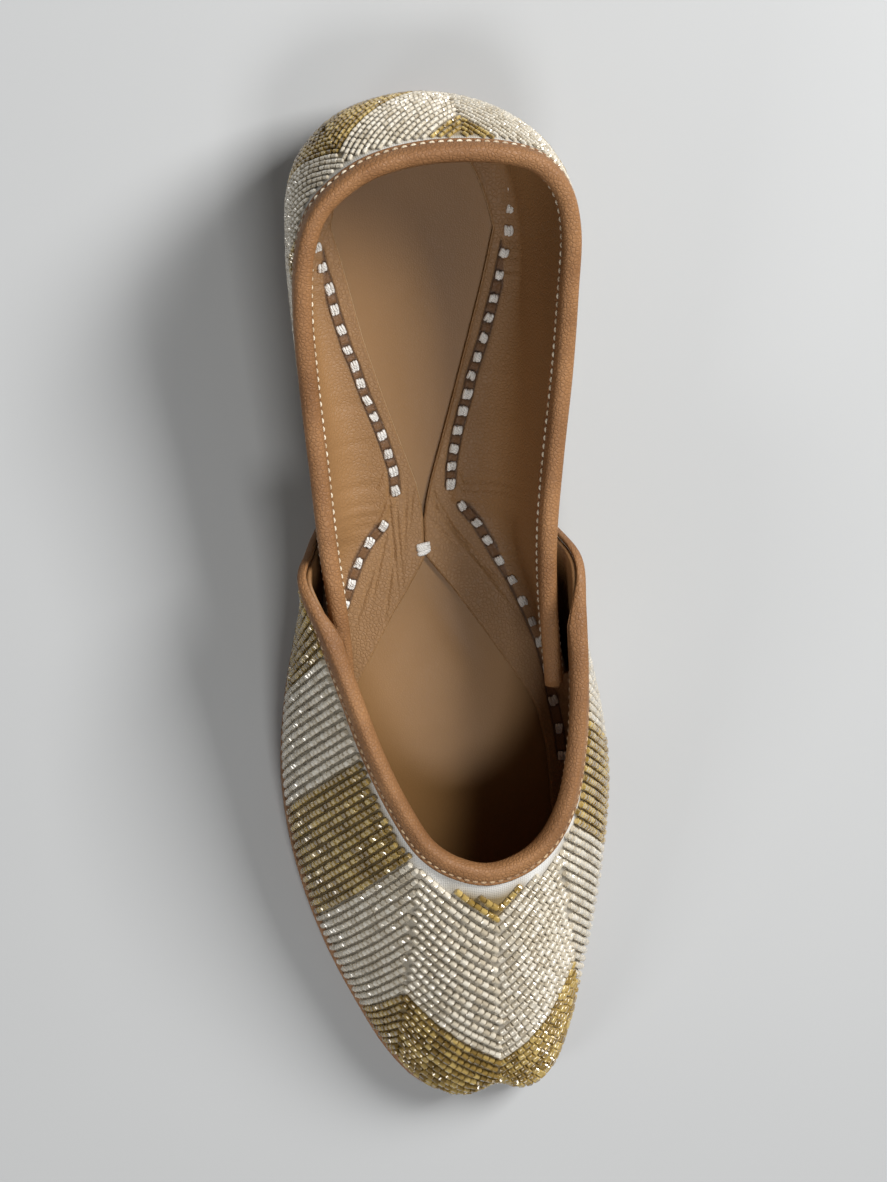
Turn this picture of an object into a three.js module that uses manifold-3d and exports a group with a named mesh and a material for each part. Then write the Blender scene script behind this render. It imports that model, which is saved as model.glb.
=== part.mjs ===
import * as THREE from "three";
import { mergeVertices } from "three/addons/utils/BufferGeometryUtils.js";
import Module from "manifold-3d";

const wasm = await Module();
wasm.setup();

// Driving dimensions in millimetres: x across the shoe, y from toe to heel, z up.
// Distance s runs from the back of the heel counter to the toe.
const heelBack = 125.06;
const axisShift = -2.95;
const seamGap = 0.3;

const soleThickness = 4.5;
const soleMargin = 0.8;
const soleGroove = 0.45;
const soleBevel = 0.6;
const soleHeelEnd = 5;
const toeSpring = 2;
const toeSpringStart = 205;
const toeSpringEnd = 250;
const notch = { x: 12.6, depth: 3.4, halfWidth: 4.6, fadeHeight: 12 };

const upperWall = 2;
const lapSeam = 1.5;
const lapStart = 84;
const lapEnd = 104;
const lapTuck = 1.7;
const bellyHeight = 22;
const quarterFrontFoot = 138;
const wingFoot = 100;
const vampRise = 1.55;
const vampCrown = 1.08;

const insoleThickness = 3.2;
const footbedGap = 1.4;
const insoleToeEnd = 239;
const padCrown = 2.2;
const padApex = 111;
const flapThickness = 1.2;
const flapGap = 0.42;

const bindingLeather = 0.7;
const bindingGap = 0.5;
const bindingOuterLeg = 4.4;
const bindingInnerLeg = 4.2;
const vampInnerLeg = 3;
const sewnEdge = 0.9;

// The sole's edge: half widths to each side of the heel's axis.
const soleRows = [
  { s: 9, left: 13, right: 13 },
  { s: 18, left: 20.2, right: 20 },
  { s: 36, left: 25, right: 25 },
  { s: 60, left: 23.8, right: 23.8 },
  { s: 85, left: 21.4, right: 21 },
  { s: 105, left: 23, right: 22.8 },
  { s: 125, left: 28.4, right: 29.6 },
  { s: 145, left: 32.8, right: 36.2 },
  { s: 165, left: 34.5, right: 39.6 },
  { s: 185, left: 32.4, right: 38.8 },
  { s: 205, left: 27, right: 36.2 },
  { s: 222, left: 20, right: 33 },
  { s: 236, left: 12.8, right: 29.6 },
  { s: 244.4, left: 5.8, right: 26 },
];
const toeRows = [
  { s: 248.8, x: 2.5 },
  { s: 249.4, x: 12.6 },
  { s: 248.7, x: 20.5 },
];

// The quarter's top edge, from the back of the heel to the ends inside the vamp.
const brimRows = [
  { s: 8.8, left: 0, right: 0, z: 50.6, leftBulge: 5.7, rightBulge: 5.7 },
  { s: 11, left: 13.3, right: 19.6, z: 50.8, leftBulge: 6.6, rightBulge: 5.7 },
  { s: 15, left: 20.8, right: 25, z: 50.6, leftBulge: 6.8, rightBulge: 5.2 },
  { s: 20, left: 26, right: 28, z: 50, leftBulge: 5.3, rightBulge: 4.4 },
  { s: 28, left: 29.2, right: 29.6, z: 48.8, leftBulge: 3.2, rightBulge: 3.2 },
  { s: 42, left: 30.4, right: 29.3, z: 46, leftBulge: 1.7, rightBulge: 2 },
  { s: 60, left: 29.5, right: 28.4, z: 42.4, leftBulge: 1.4, rightBulge: 1.3 },
  { s: 80, left: 28, right: 26.4, z: 39.8, leftBulge: 1.2, rightBulge: 1.2 },
  { s: 98, left: 26.6, right: 24.8, z: 38.3, leftBulge: 1.5, rightBulge: 1.5 },
  { s: 115, left: 24.4, right: 24.7, z: 36.4, leftBulge: 1.8, rightBulge: 1.8 },
  { s: 136, left: 22.6, right: 26, z: 32, leftBulge: 1.8, rightBulge: 1.8 },
];

// The vamp's free edge: the throat, the wing's tip and the wing's rear edge.
const throatBottom = { s: 174.2, x: 6.5, z: 46 };
const throatLeft = [
  { s: 171.8, x: -1, z: 46 },
  { s: 167, x: -7, z: 46 },
  { s: 156.5, x: -13, z: 46 },
  { s: 143.5, x: -18.4, z: 45.8 },
  { s: 129.5, x: -23, z: 45.2 },
  { s: 114, x: -28.2, z: 43 },
  { s: 104, x: -31.9, z: 38.5 },
  { s: 100.4, x: -28.8, z: 29 },
  { s: 99.8, x: -25.6, z: 17 },
  { s: 100, x: -22.8, z: 8 },
];
const throatRight = [
  { s: 172.5, x: 14, z: 46 },
  { s: 168, x: 20, z: 46 },
  { s: 159.3, x: 25, z: 46 },
  { s: 146, x: 28, z: 45.8 },
  { s: 130, x: 29.5, z: 45.2 },
  { s: 114, x: 30, z: 43 },
  { s: 104.5, x: 30.4, z: 38.5 },
  { s: 100.6, x: 27.8, z: 29 },
  { s: 99.8, x: 25, z: 17 },
  { s: 100, x: 22.5, z: 8 },
];
const vampBulgeRows = [
  { share: 0, left: 0.5, right: 0.5 },
  { share: 0.25, left: 0, right: 1.6 },
  { share: 0.5, left: 0.5, right: 2.2 },
  { share: 0.75, left: 2.1, right: 2.6 },
  { share: 1, left: 1.6, right: 1.6 },
];

// The flaps' inner edges on the insole.
const flapRows = [
  { s: 20, left: 20, right: 20 },
  { s: 30, left: 18.3, right: 19 },
  { s: 42, left: 15.7, right: 15.8 },
  { s: 60, left: 11.4, right: 11.3 },
  { s: 80, left: 4.9, right: 6 },
  { s: 96, left: 0.5, right: 1.4 },
  { s: 112, left: 0.5, right: 1 },
  { s: 122, left: 6.2, right: 8.2 },
  { s: 135, left: 13.5, right: 17.3 },
  { s: 148, left: 20.4, right: 24.4 },
  { s: 161, left: 25.6, right: 27.6 },
  { s: 180, left: 25, right: 28.4 },
];

const sides = { left: -1, right: 1 };
const clamp = THREE.MathUtils.clamp;
const smooth = THREE.MathUtils.smoothstep;
const lerp = THREE.MathUtils.lerp;

function place(x, s, z) {
  return new THREE.Vector3(x + axisShift, heelBack - s, z);
}

function distanceOf(point) {
  return heelBack - point.y;
}

function liftAt(s) {
  const share = clamp((s - toeSpringStart) / (toeSpringEnd - toeSpringStart), 0, 1);
  return toeSpring * share * share;
}

// A table's column read smoothly at any value of its key column.
function column(rows, key, name) {
  const points = rows.map((row) => new THREE.Vector3(row[key], row[name], 0));
  const line = new THREE.CatmullRomCurve3(points, false, "centripetal").getPoints(400);
  return (value) => {
    if (value <= line[0].x) {
      return line[0].y;
    }
    for (let i = 1; i < line.length; i++) {
      if (line[i].x >= value) {
        const a = line[i - 1];
        const b = line[i];
        return lerp(a.y, b.y, (value - a.x) / Math.max(b.x - a.x, 1e-9));
      }
    }
    return line[line.length - 1].y;
  };
}

// A path walked by its own length, from share 0 to share 1.
function pathOf(points) {
  const lengths = [0];
  for (let i = 1; i < points.length; i++) {
    lengths.push(lengths[i - 1] + points[i].distanceTo(points[i - 1]));
  }
  const total = lengths[lengths.length - 1];
  const at = (share) => {
    const wanted = clamp(share, 0, 1) * total;
    let i = 1;
    while (i < lengths.length - 1 && lengths[i] < wanted) {
      i++;
    }
    const part = (wanted - lengths[i - 1]) / Math.max(lengths[i] - lengths[i - 1], 1e-9);
    return points[i - 1].clone().lerp(points[i], part);
  };
  const shareAt = (s) => {
    const i = points.findIndex((point) => distanceOf(point) >= s);
    return lengths[i < 0 ? points.length - 1 : i] / total;
  };
  return { points, at, shareAt };
}

function smoothPath(controls) {
  return pathOf(new THREE.CatmullRomCurve3(controls, false, "centripetal").getPoints(500));
}

// The sole's edge as two halves, each from the heel's back to the toe's middle.
function soleHalves() {
  const left = soleRows.map((row) => place(-row.left, row.s, 0));
  const right = soleRows.map((row) => place(row.right, row.s, 0)).reverse();
  const toe = toeRows.map((row) => place(row.x, row.s, 0));
  const loop = [place(0, soleHeelEnd, 0), ...left, ...toe, ...right];
  const curve = new THREE.CatmullRomCurve3(loop, true, "centripetal");
  const toeMiddle = (left.length + 2) / loop.length;
  const halves = { left: [], right: [] };
  const steps = 600;
  for (let i = 0; i <= steps; i++) {
    halves.left.push(curve.getPoint((toeMiddle * i) / steps));
    halves.right.push(curve.getPoint(1 - ((1 - toeMiddle) * i) / steps));
  }
  return halves;
}

const soleEdge = soleHalves();

// Half of the sole's edge moved inwards in plan.
function insetHalf(side, distance) {
  const points = soleEdge[side];
  const moved = points.map((point, i) => {
    const before = points[Math.max(i - 1, 0)];
    const after = points[Math.min(i + 1, points.length - 1)];
    const along = after.clone().sub(before).normalize();
    const inwards = new THREE.Vector3(-along.y, along.x, 0).multiplyScalar(-sides[side]);
    if (i === 0 || i === points.length - 1) {
      inwards.set(0, i === 0 ? -1 : 1, 0);
    }
    return point.clone().addScaledVector(inwards, distance(distanceOf(point)));
  });
  return pathOf(moved);
}

function notched(point, strength) {
  const across = (point.x - axisShift - notch.x) / notch.halfWidth;
  const near = smooth(distanceOf(point), 225, 240);
  point.y += notch.depth * strength * near * Math.exp(-across * across);
  return point;
}

function tuckAt(s) {
  return lapTuck * smooth(s, lapStart, lapEnd);
}

// Shares from 0 to 1, closer together at both ends.
function endShares(count) {
  return Array.from({ length: count + 1 }, (_, i) => {
    const even = i / count;
    return lerp(even, 0.5 - 0.5 * Math.cos(Math.PI * even), 0.7);
  });
}

function solidOf(geometry) {
  const welded = mergeVertices(geometry, 1e-4);
  const mesh = new wasm.Mesh({
    numProp: 3,
    vertProperties: new Float32Array(welded.attributes.position.array),
    triVerts: new Uint32Array(welded.index.array),
  });
  return new wasm.Manifold(mesh);
}

function geometryOf(solid) {
  const mesh = solid.getMesh();
  const geometry = new THREE.BufferGeometry();
  geometry.setAttribute("position", new THREE.BufferAttribute(new Float32Array(mesh.vertProperties), 3));
  geometry.setIndex(new THREE.BufferAttribute(new Uint32Array(mesh.triVerts), 1));
  return geometry;
}

function indexed(points, triangles) {
  const geometry = new THREE.BufferGeometry().setFromPoints(points);
  let volume = 0;
  for (const [a, b, c] of triangles) {
    volume += points[a].dot(points[b].clone().cross(points[c]));
  }
  geometry.setIndex(triangles.flatMap(([a, b, c]) => (volume > 0 ? [a, b, c] : [a, c, b])));
  return geometry;
}

// A closed plate between two grids of the same size.
function plate(outer, inner) {
  const columns = outer.length;
  const rows = outer[0].length;
  const points = [...outer.flat(), ...inner.flat()];
  const far = columns * rows;
  const at = (i, j) => i * rows + j;
  const triangles = [];
  const quad = (a, b, c, d) => triangles.push([a, b, c], [a, c, d]);
  for (let i = 0; i + 1 < columns; i++) {
    for (let j = 0; j + 1 < rows; j++) {
      quad(at(i, j), at(i + 1, j), at(i + 1, j + 1), at(i, j + 1));
      quad(far + at(i, j), far + at(i, j + 1), far + at(i + 1, j + 1), far + at(i + 1, j));
    }
    quad(at(i, 0), far + at(i, 0), far + at(i + 1, 0), at(i + 1, 0));
    quad(at(i, rows - 1), at(i + 1, rows - 1), far + at(i + 1, rows - 1), far + at(i, rows - 1));
  }
  for (let j = 0; j + 1 < rows; j++) {
    const k = columns - 1;
    quad(at(0, j), at(0, j + 1), far + at(0, j + 1), far + at(0, j));
    quad(at(k, j), far + at(k, j), far + at(k, j + 1), at(k, j + 1));
  }
  return indexed(points, triangles);
}

// A bar swept through closed sections, capped at its ends.
function sweep(sections, shapes) {
  const flatOf = (shape) => shape.map(([a, b]) => new THREE.Vector2(a, b));
  const size = sections[0].length;
  const points = sections.flat();
  const triangles = [];
  for (let i = 0; i + 1 < sections.length; i++) {
    for (let j = 0; j < size; j++) {
      const k = (j + 1) % size;
      triangles.push([i * size + j, i * size + k, (i + 1) * size + k]);
      triangles.push([i * size + j, (i + 1) * size + k, (i + 1) * size + j]);
    }
  }
  const last = (sections.length - 1) * size;
  for (const [a, b, c] of THREE.ShapeUtils.triangulateShape(flatOf(shapes[0]), [])) {
    triangles.push([a, c, b]);
  }
  for (const [a, b, c] of THREE.ShapeUtils.triangulateShape(flatOf(shapes[shapes.length - 1]), [])) {
    triangles.push([last + a, last + b, last + c]);
  }
  return indexed(points, triangles);
}

// Outward normals of a grid of surface points.
function gridNormals(grid, sign) {
  return grid.map((line, i) =>
    line.map((_, j) => {
      const a = grid[Math.min(i + 1, grid.length - 1)][j].clone();
      a.sub(grid[Math.max(i - 1, 0)][j]);
      const b = line[Math.min(j + 1, line.length - 1)].clone();
      b.sub(line[Math.max(j - 1, 0)]);
      return a.cross(b).multiplyScalar(sign).normalize();
    }),
  );
}

// The wall's inner face; its foot stays level with the outer foot.
function innerGrid(grid, normals, wallAt) {
  return grid.map((line, i) =>
    line.map((point, j) => {
      const normal = normals[i][j].clone();
      if (j === 0) {
        normal.z = 0;
        normal.normalize();
      }
      const inner = point.clone().addScaledVector(normal, -wallAt(i, j));
      inner.z = Math.max(inner.z, line[0].z + 0.4 * j);
      return inner;
    }),
  );
}

const footBase = soleThickness + seamGap;
const upperFoot = {
  left: insetHalf("left", () => soleMargin),
  right: insetHalf("right", () => soleMargin),
};
const quarterFoot = {
  left: insetHalf("left", (s) => soleMargin + tuckAt(s)),
  right: insetHalf("right", (s) => soleMargin + tuckAt(s)),
};

const brim = {};
const brimBulge = {
  left: column(brimRows, "s", "leftBulge"),
  right: column(brimRows, "s", "rightBulge"),
};
for (const side of ["left", "right"]) {
  const middle = place(0, brimRows[0].s, brimRows[0].z);
  const controls = brimRows.slice(1).map((row) => place(sides[side] * row[side], row.s, row.z));
  brim[side] = smoothPath([middle, ...controls]);
}

// The quarter's outer face at share u from the heel's back and height share v.
function quarterPoint(side, u, v) {
  const footEnd = quarterFoot[side].shareAt(quarterFrontFoot);
  const foot = quarterFoot[side].at(u * footEnd);
  const ahead = quarterFoot[side].at(u * footEnd + 0.004);
  const behind = quarterFoot[side].at(Math.max(u * footEnd - 0.004, 0));
  const top = brim[side].at(u);
  const along = ahead.sub(behind).normalize();
  const out = new THREE.Vector3(along.y, -along.x, 0).multiplyScalar(-sides[side]);
  if (u === 0) {
    out.set(0, 1, 0);
  }
  const share = (bellyHeight - footBase) / (top.z - footBase);
  const lift = (brimBulge[side](distanceOf(top)) * v * (1 - v)) / (share * (1 - share));
  const point = foot.clone().lerp(top, v);
  point.z = lerp(footBase, top.z, v);
  return point.addScaledVector(out, lift);
}

const throat = {
  left: smoothPath([throatBottom, ...throatLeft].map((row) => place(row.x, row.s, row.z))),
  right: smoothPath([throatBottom, ...throatRight].map((row) => place(row.x, row.s, row.z))),
};
const vampBulge = {
  left: column(vampBulgeRows, "share", "left"),
  right: column(vampBulgeRows, "share", "right"),
};

// The vamp's outer face at share u from the toe's middle to the wing and height share v.
function vampPoint(side, u, v) {
  const rear = upperFoot[side].shareAt(wingFoot);
  const footShare = 1 - u * (1 - rear);
  const foot = upperFoot[side].at(footShare);
  const ahead = upperFoot[side].at(Math.min(footShare + 0.004, 1));
  const behind = upperFoot[side].at(footShare - 0.004);
  const top = throat[side].at(u * (0.28 + u * (0.44 + 0.28 * u)));
  const along = ahead.sub(behind).normalize();
  const out = new THREE.Vector3(along.y, -along.x, 0).multiplyScalar(-sides[side]);
  if (u === 0) {
    out.set(0, -1, 0);
  }
  const base = footBase + liftAt(distanceOf(foot));
  const reach = v * v;
  const rise = Math.pow(1 - Math.pow(1 - reach, vampCrown), 1 / vampRise);
  const point = foot.clone().lerp(top, reach);
  point.z = lerp(base, top.z, rise);
  const swell = 6.75 * v * (1 - v) * (1 - v);
  const height = clamp((top.z - base) / 38, 0, 1);
  point.addScaledVector(out, vampBulge[side](u) * swell * height);
  return notched(point, 1 - smooth(point.z, base, base + notch.fadeHeight));
}

// Grids run from the left end round to the right end.
function bothSides(shares, point, rows) {
  const turn = (side) => (u) => Array.from({ length: rows + 1 }, (_, j) => point(side, u, j / rows));
  const left = shares.slice(1).reverse().map(turn("left"));
  return [...left, ...shares.map(turn("right"))];
}

const quarterShares = Array.from({ length: 25 }, (_, i) => Math.pow(i / 24, 1.25));
const quarterOuter = bothSides(quarterShares, quarterPoint, 9);
const quarterNormals = gridNormals(quarterOuter, -1);
const quarterInner = innerGrid(quarterOuter, quarterNormals, () => upperWall);

const vampShares = endShares(30).map((share) => 0.99 * share);
const vampOuter = bothSides(vampShares, vampPoint, 12);
const vampNormals = gridNormals(vampOuter, 1);
const vampInner = innerGrid(vampOuter, vampNormals, (i, j) => {
  const point = vampOuter[i][j];
  const lap = 1 - smooth(distanceOf(point), 118, 132);
  const low = 1 - smooth(point.z, 20, 27);
  return upperWall + lapSeam * lap * low * smooth(distanceOf(point), 102, 106);
});

function buildUpper() {
  const quarter = solidOf(plate(quarterOuter, quarterInner));
  const vamp = solidOf(plate(vampOuter, vampInner));
  return geometryOf(vamp.add(quarter));
}

// The binding's section: across the wall, and past its edge.
// Where the wall is sewn down, open falls to 0 and the inner leg draws back to the edge.
function sectionShape(outerLeg, innerLeg, open) {
  const inside = upperWall / 2 + bindingGap;
  const outside = inside + bindingLeather;
  const past = bindingGap + bindingLeather;
  const shut = -upperWall / 2 + sewnEdge;
  const turn = clamp(2 * open, 0, 1);
  const leg = clamp(2 * open - 1, 0, 1);
  return [
    [outside, -outerLeg],
    [outside, 0.1],
    [outside * 0.72, past * 0.75],
    [0.2, past],
    [lerp(shut, -outside * 0.72, turn), past * lerp(0.9, 0.75, turn)],
    [lerp(shut, -outside, turn), lerp(past * 0.8, 0.1, leg)],
    [lerp(shut, -outside, turn), lerp(past * 0.7, -innerLeg, leg)],
    [lerp(shut, -inside, turn), lerp(past * 0.6, -innerLeg, leg)],
    [lerp(shut, -inside, turn), bindingGap],
    [inside, bindingGap],
    [inside, -outerLeg],
  ];
}

// The nearest place on a grid's surface, with its outward normal.
function ontoGrid(grid, target, outwards) {
  const triangle = new THREE.Triangle();
  const trial = new THREE.Vector3();
  const nearest = { point: new THREE.Vector3(), normal: new THREE.Vector3() };
  let least = Infinity;
  const test = (a, b, c) => {
    triangle.set(a, b, c).closestPointToPoint(target, trial);
    const distance = trial.distanceTo(target);
    if (distance < least) {
      least = distance;
      nearest.point.copy(trial);
      triangle.getNormal(nearest.normal);
    }
  };
  for (let i = 0; i + 1 < grid.length; i++) {
    for (let j = 0; j + 1 < grid[i].length; j++) {
      test(grid[i][j], grid[i + 1][j], grid[i + 1][j + 1]);
      test(grid[i][j], grid[i + 1][j + 1], grid[i][j + 1]);
    }
  }
  nearest.normal.multiplyScalar(nearest.normal.dot(outwards) < 0 ? -1 : 1);
  return nearest;
}

// A rolled binding along the last row of a wall's grid.
function binding(outer, inner, innerLeg, openAt) {
  const last = outer[0].length - 1;
  const middles = outer.map((line, i) => line[last].clone().lerp(inner[i][last], 0.5));
  const sections = [];
  const shapes = [];
  for (let i = 0; i < outer.length; i++) {
    const shape = sectionShape(bindingOuterLeg, innerLeg, openAt(middles[i]));
    shapes.push(shape);
    const out = outer[i][last].clone().sub(inner[i][last]).normalize();
    const along = middles[Math.min(i + 1, middles.length - 1)].clone();
    along.sub(middles[Math.max(i - 1, 0)]).normalize();
    const down = outer[i][last - 1].clone().sub(outer[i][last]);
    const past = new THREE.Vector3().crossVectors(along, out).normalize();
    past.multiplyScalar(past.dot(down) > 0 ? -1 : 1);
    const section = shape.map(([a, b]) =>
      middles[i].clone().addScaledVector(out, a).addScaledVector(past, b),
    );
    const foot = ontoGrid(outer, section[0], out);
    section[0].copy(foot.point).addScaledVector(foot.normal, bindingGap + bindingLeather);
    section[shape.length - 1].copy(foot.point).addScaledVector(foot.normal, bindingGap);
    sections.push(section);
  }
  return sweep(sections, shapes);
}

// The sole: rings of its edge at each height, with a line round the side.
function buildOutsole() {
  const shares = endShares(40);
  const levels = [
    { z: 0, inset: soleBevel },
    { z: soleBevel, inset: 0 },
    { z: 2.3, inset: 0 },
    { z: 2.55, inset: soleGroove },
    { z: 2.8, inset: 0 },
    { z: soleThickness, inset: 0 },
  ];
  const ring = (level) => {
    const left = insetHalf("left", () => level.inset);
    const right = insetHalf("right", () => level.inset);
    const points = [
      ...shares.map((share) => left.at(share)),
      ...shares.slice(1, -1).reverse().map((share) => right.at(share)),
    ];
    return points.map((point) => {
      notched(point, 1);
      point.z = level.z + liftAt(distanceOf(point));
      return point;
    });
  };
  const rings = levels.map(ring);
  const size = rings[0].length;
  const triangles = [];
  for (let i = 0; i + 1 < rings.length; i++) {
    for (let j = 0; j < size; j++) {
      const k = (j + 1) % size;
      triangles.push([i * size + j, i * size + k, (i + 1) * size + k]);
      triangles.push([i * size + j, (i + 1) * size + k, (i + 1) * size + j]);
    }
  }
  const last = (rings.length - 1) * size;
  const half = shares.length - 1;
  const mirror = (j) => (j === 0 || j === half ? j : size - j);
  // Straight strips as far as the notch, and the notched end cut up from its own outline.
  const tip = shares.findIndex((_, j) => distanceOf(rings[0][j]) > 226);
  const tipRing = [];
  for (let j = tip; j <= size - tip; j++) {
    tipRing.push(j);
  }
  const cap = (start, flip) => {
    const push = (a, b, c) => {
      const turned = flip ? [a, c, b] : [a, b, c];
      triangles.push(turned.map((index) => start + index));
    };
    for (let j = 0; j < tip; j++) {
      if (j > 0) {
        push(j, mirror(j), mirror(j + 1));
      }
      push(j, mirror(j + 1), j + 1);
    }
    const ringAt = rings[start / size];
    const outline = tipRing.map((j) => new THREE.Vector2(ringAt[j].x, ringAt[j].y));
    for (const face of THREE.ShapeUtils.triangulateShape(outline, [])) {
      const clockwise = THREE.ShapeUtils.isClockWise(face.map((index) => outline[index]));
      const [a, b, c] = face.map((index) => tipRing[index]);
      if (clockwise) {
        push(a, b, c);
      } else {
        push(a, c, b);
      }
    }
  };
  cap(0, false);
  cap(last, true);
  return indexed(rings.flat(), triangles);
}

function footbedInset(s) {
  const tuck = tuckAt(s) * (1 - smooth(s, 142, 152));
  return soleMargin + upperWall + footbedGap + tuck;
}

const footbedEdge = {
  left: insetHalf("left", footbedInset),
  right: insetHalf("right", footbedInset),
};

// The footbed's edge at a distance from the heel.
function footbedX(side, s) {
  const points = footbedEdge[side].points;
  const i = points.findIndex((point) => distanceOf(point) >= s);
  return points[i < 0 ? points.length - 1 : i].x - axisShift;
}

function footbedTop(x, s) {
  const left = footbedX("left", s);
  const right = footbedX("right", s);
  const across = clamp(((x - left) / (right - left)) * 2 - 1, -1, 1);
  const along = smooth(s, padApex - 8, padApex + 34) * (1 - smooth(s, 200, 240));
  const crown = padCrown * along * (1 - across * across) * (1 - across * across);
  return footBase + insoleThickness + liftAt(s) + crown;
}

function buildInsole() {
  const first = distanceOf(footbedEdge.left.points[0]) + 0.5;
  const stations = endShares(26).map((share) => lerp(first, insoleToeEnd, share));
  const grid = (height) =>
    stations.map((s) =>
      Array.from({ length: 9 }, (_, j) => {
        const x = lerp(footbedX("left", s), footbedX("right", s), j / 8);
        return place(x, s, height(x, s));
      }),
    );
  return plate(grid(footbedTop), grid((x, s) => footBase + liftAt(s)));
}

function buildFlap(side) {
  const edge = column(flapRows, "s", side);
  const stations = Array.from({ length: 25 }, (_, i) => lerp(20, 178, i / 24));
  const grid = (rise) =>
    stations.map((s) =>
      Array.from({ length: 5 }, (_, j) => {
        const wallSide = footbedX(side, s);
        const inner = clamp(edge(s), 0.2, Math.abs(wallSide) - 2) * sides[side];
        const x = lerp(wallSide, inner, j / 4);
        return place(x, s, footbedTop(x, s) + flapGap + rise);
      }),
    );
  return plate(grid(flapThickness), grid(0));
}

const soleLeather = new THREE.MeshStandardMaterial({ color: 0x8a6038, roughness: 0.6, metalness: 0 });
const footLeather = new THREE.MeshStandardMaterial({ color: 0x6b4128, roughness: 0.45, metalness: 0 });
const liningLeather = new THREE.MeshStandardMaterial({ color: 0x9c6b43, roughness: 0.6, metalness: 0 });
const beadedCloth = new THREE.MeshStandardMaterial({ color: 0xb9a77c, roughness: 0.4, metalness: 0.3 });
const bindingTan = new THREE.MeshStandardMaterial({ color: 0xb07a4a, roughness: 0.55, metalness: 0 });

const shoe = new THREE.Group();

function addPiece(name, geometry, material) {
  const mesh = new THREE.Mesh(geometry, material);
  mesh.name = name;
  shoe.add(mesh);
}

addPiece("outsole", buildOutsole(), soleLeather);
addPiece("insole", buildInsole(), footLeather);
addPiece("flap_left", buildFlap("left"), liningLeather);
addPiece("flap_right", buildFlap("right"), liningLeather);
addPiece("upper", buildUpper(), beadedCloth);
const wingOpen = (point) => smooth(distanceOf(point), 105, 130);
addPiece("vamp_binding", binding(vampOuter, vampInner, vampInnerLeg, wingOpen), bindingTan);
addPiece("collar_binding", binding(quarterOuter, quarterInner, bindingInnerLeg, () => 1), bindingTan);

export default shoe;
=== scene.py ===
import math
import random

import bmesh
import bpy
import numpy as np
from mathutils import Matrix, Vector
from mathutils.bvhtree import BVHTree
from mathutils.geometry import barycentric_transform


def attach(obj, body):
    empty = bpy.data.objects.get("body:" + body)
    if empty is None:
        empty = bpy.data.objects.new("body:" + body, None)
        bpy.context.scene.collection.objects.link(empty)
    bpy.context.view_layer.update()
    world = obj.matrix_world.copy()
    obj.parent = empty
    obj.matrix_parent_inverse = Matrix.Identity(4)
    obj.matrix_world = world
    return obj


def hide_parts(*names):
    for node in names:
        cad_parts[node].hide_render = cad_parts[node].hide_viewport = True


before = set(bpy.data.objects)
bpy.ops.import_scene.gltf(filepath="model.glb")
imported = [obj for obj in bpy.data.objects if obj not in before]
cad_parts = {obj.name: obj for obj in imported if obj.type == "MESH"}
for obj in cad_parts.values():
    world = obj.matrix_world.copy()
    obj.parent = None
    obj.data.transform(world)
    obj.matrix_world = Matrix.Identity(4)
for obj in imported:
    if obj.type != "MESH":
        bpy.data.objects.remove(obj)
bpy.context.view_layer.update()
mm = 0.001  # all tables below are in millimetres
dice = random.Random(23)
sides = {"left": -1.0, "right": 1.0}

# The last: s runs from the back of the heel to the toe, x across from the heel's axis.
last = {
    "heelBack": 125.06, "axisShift": -2.95, "footBase": 4.8, "wall": 2.0,
    "springStart": 205.0, "springEnd": 250.0, "springLift": 2.0,
    "notchX": 12.6, "notchDepth": 3.4, "notchHalf": 4.6, "notchFade": 12.0,
    "notchStart": 225.0, "notchEnd": 240.0,
    "soleMargin": 0.8, "lapStart": 84.0, "lapEnd": 104.0, "lapTuck": 1.7,
}


def smoothStep(value, low, high):
    part = np.clip((np.asarray(value, float) - low) / (high - low), 0.0, 1.0)
    return part * part * (3.0 - 2.0 * part)


def place(x, s, z=0.0):
    return np.array([x + last["axisShift"], last["heelBack"] - s, z])


def distanceOf(points):
    return last["heelBack"] - points[..., 1]


def acrossOf(points):
    return points[..., 0] - last["axisShift"]


def liftAt(s):
    part = np.clip((s - last["springStart"]) / (last["springEnd"] - last["springStart"]), 0.0, 1.0)
    return last["springLift"] * part * part


def unitRows(vectors):
    lengths = np.linalg.norm(vectors, axis=-1, keepdims=True)
    return vectors / np.maximum(lengths, 1e-9)


def endShares(count):
    even = np.linspace(0.0, 1.0, count + 1)
    return 0.3 * even + 0.7 * (0.5 - 0.5 * np.cos(np.pi * even))


# A smooth curve through control points, read at shares of its spans.
def curveAt(controls, shares, closed=False):
    points = np.asarray(controls, float)
    count = len(points)
    spans = count if closed else count - 1
    spot = np.asarray(shares, float) * spans
    index = np.minimum(np.floor(spot).astype(int), spans - 1)
    part = (spot - index)[:, None]
    if closed:
        a, b, c, d = (points[(index + k) % count] for k in (-1, 0, 1, 2))
    else:
        padded = np.vstack([2 * points[0] - points[1], points, 2 * points[-1] - points[-2]])
        a, b, c, d = (padded[index + k] for k in range(4))

    def gap(p, q):
        return np.maximum(np.sum((p - q) ** 2, axis=1), 1e-12)[:, None] ** 0.25

    first, middle, final = gap(a, b), gap(b, c), gap(c, d)
    leave = ((b - a) / first - (c - a) / (first + middle) + (c - b) / middle) * middle
    arrive = ((c - b) / middle - (d - b) / (middle + final) + (d - c) / final) * middle
    bend = 3 * (c - b) - 2 * leave - arrive
    twist = 2 * (b - c) + leave + arrive
    return b + part * (leave + part * (bend + part * twist))


def column(rows, key, name):
    controls = [(row[key], row[name], 0.0) for row in rows]
    line = curveAt(controls, np.linspace(0.0, 1.0, 401))
    return lambda value: np.interp(value, line[:, 0], line[:, 1])


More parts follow.
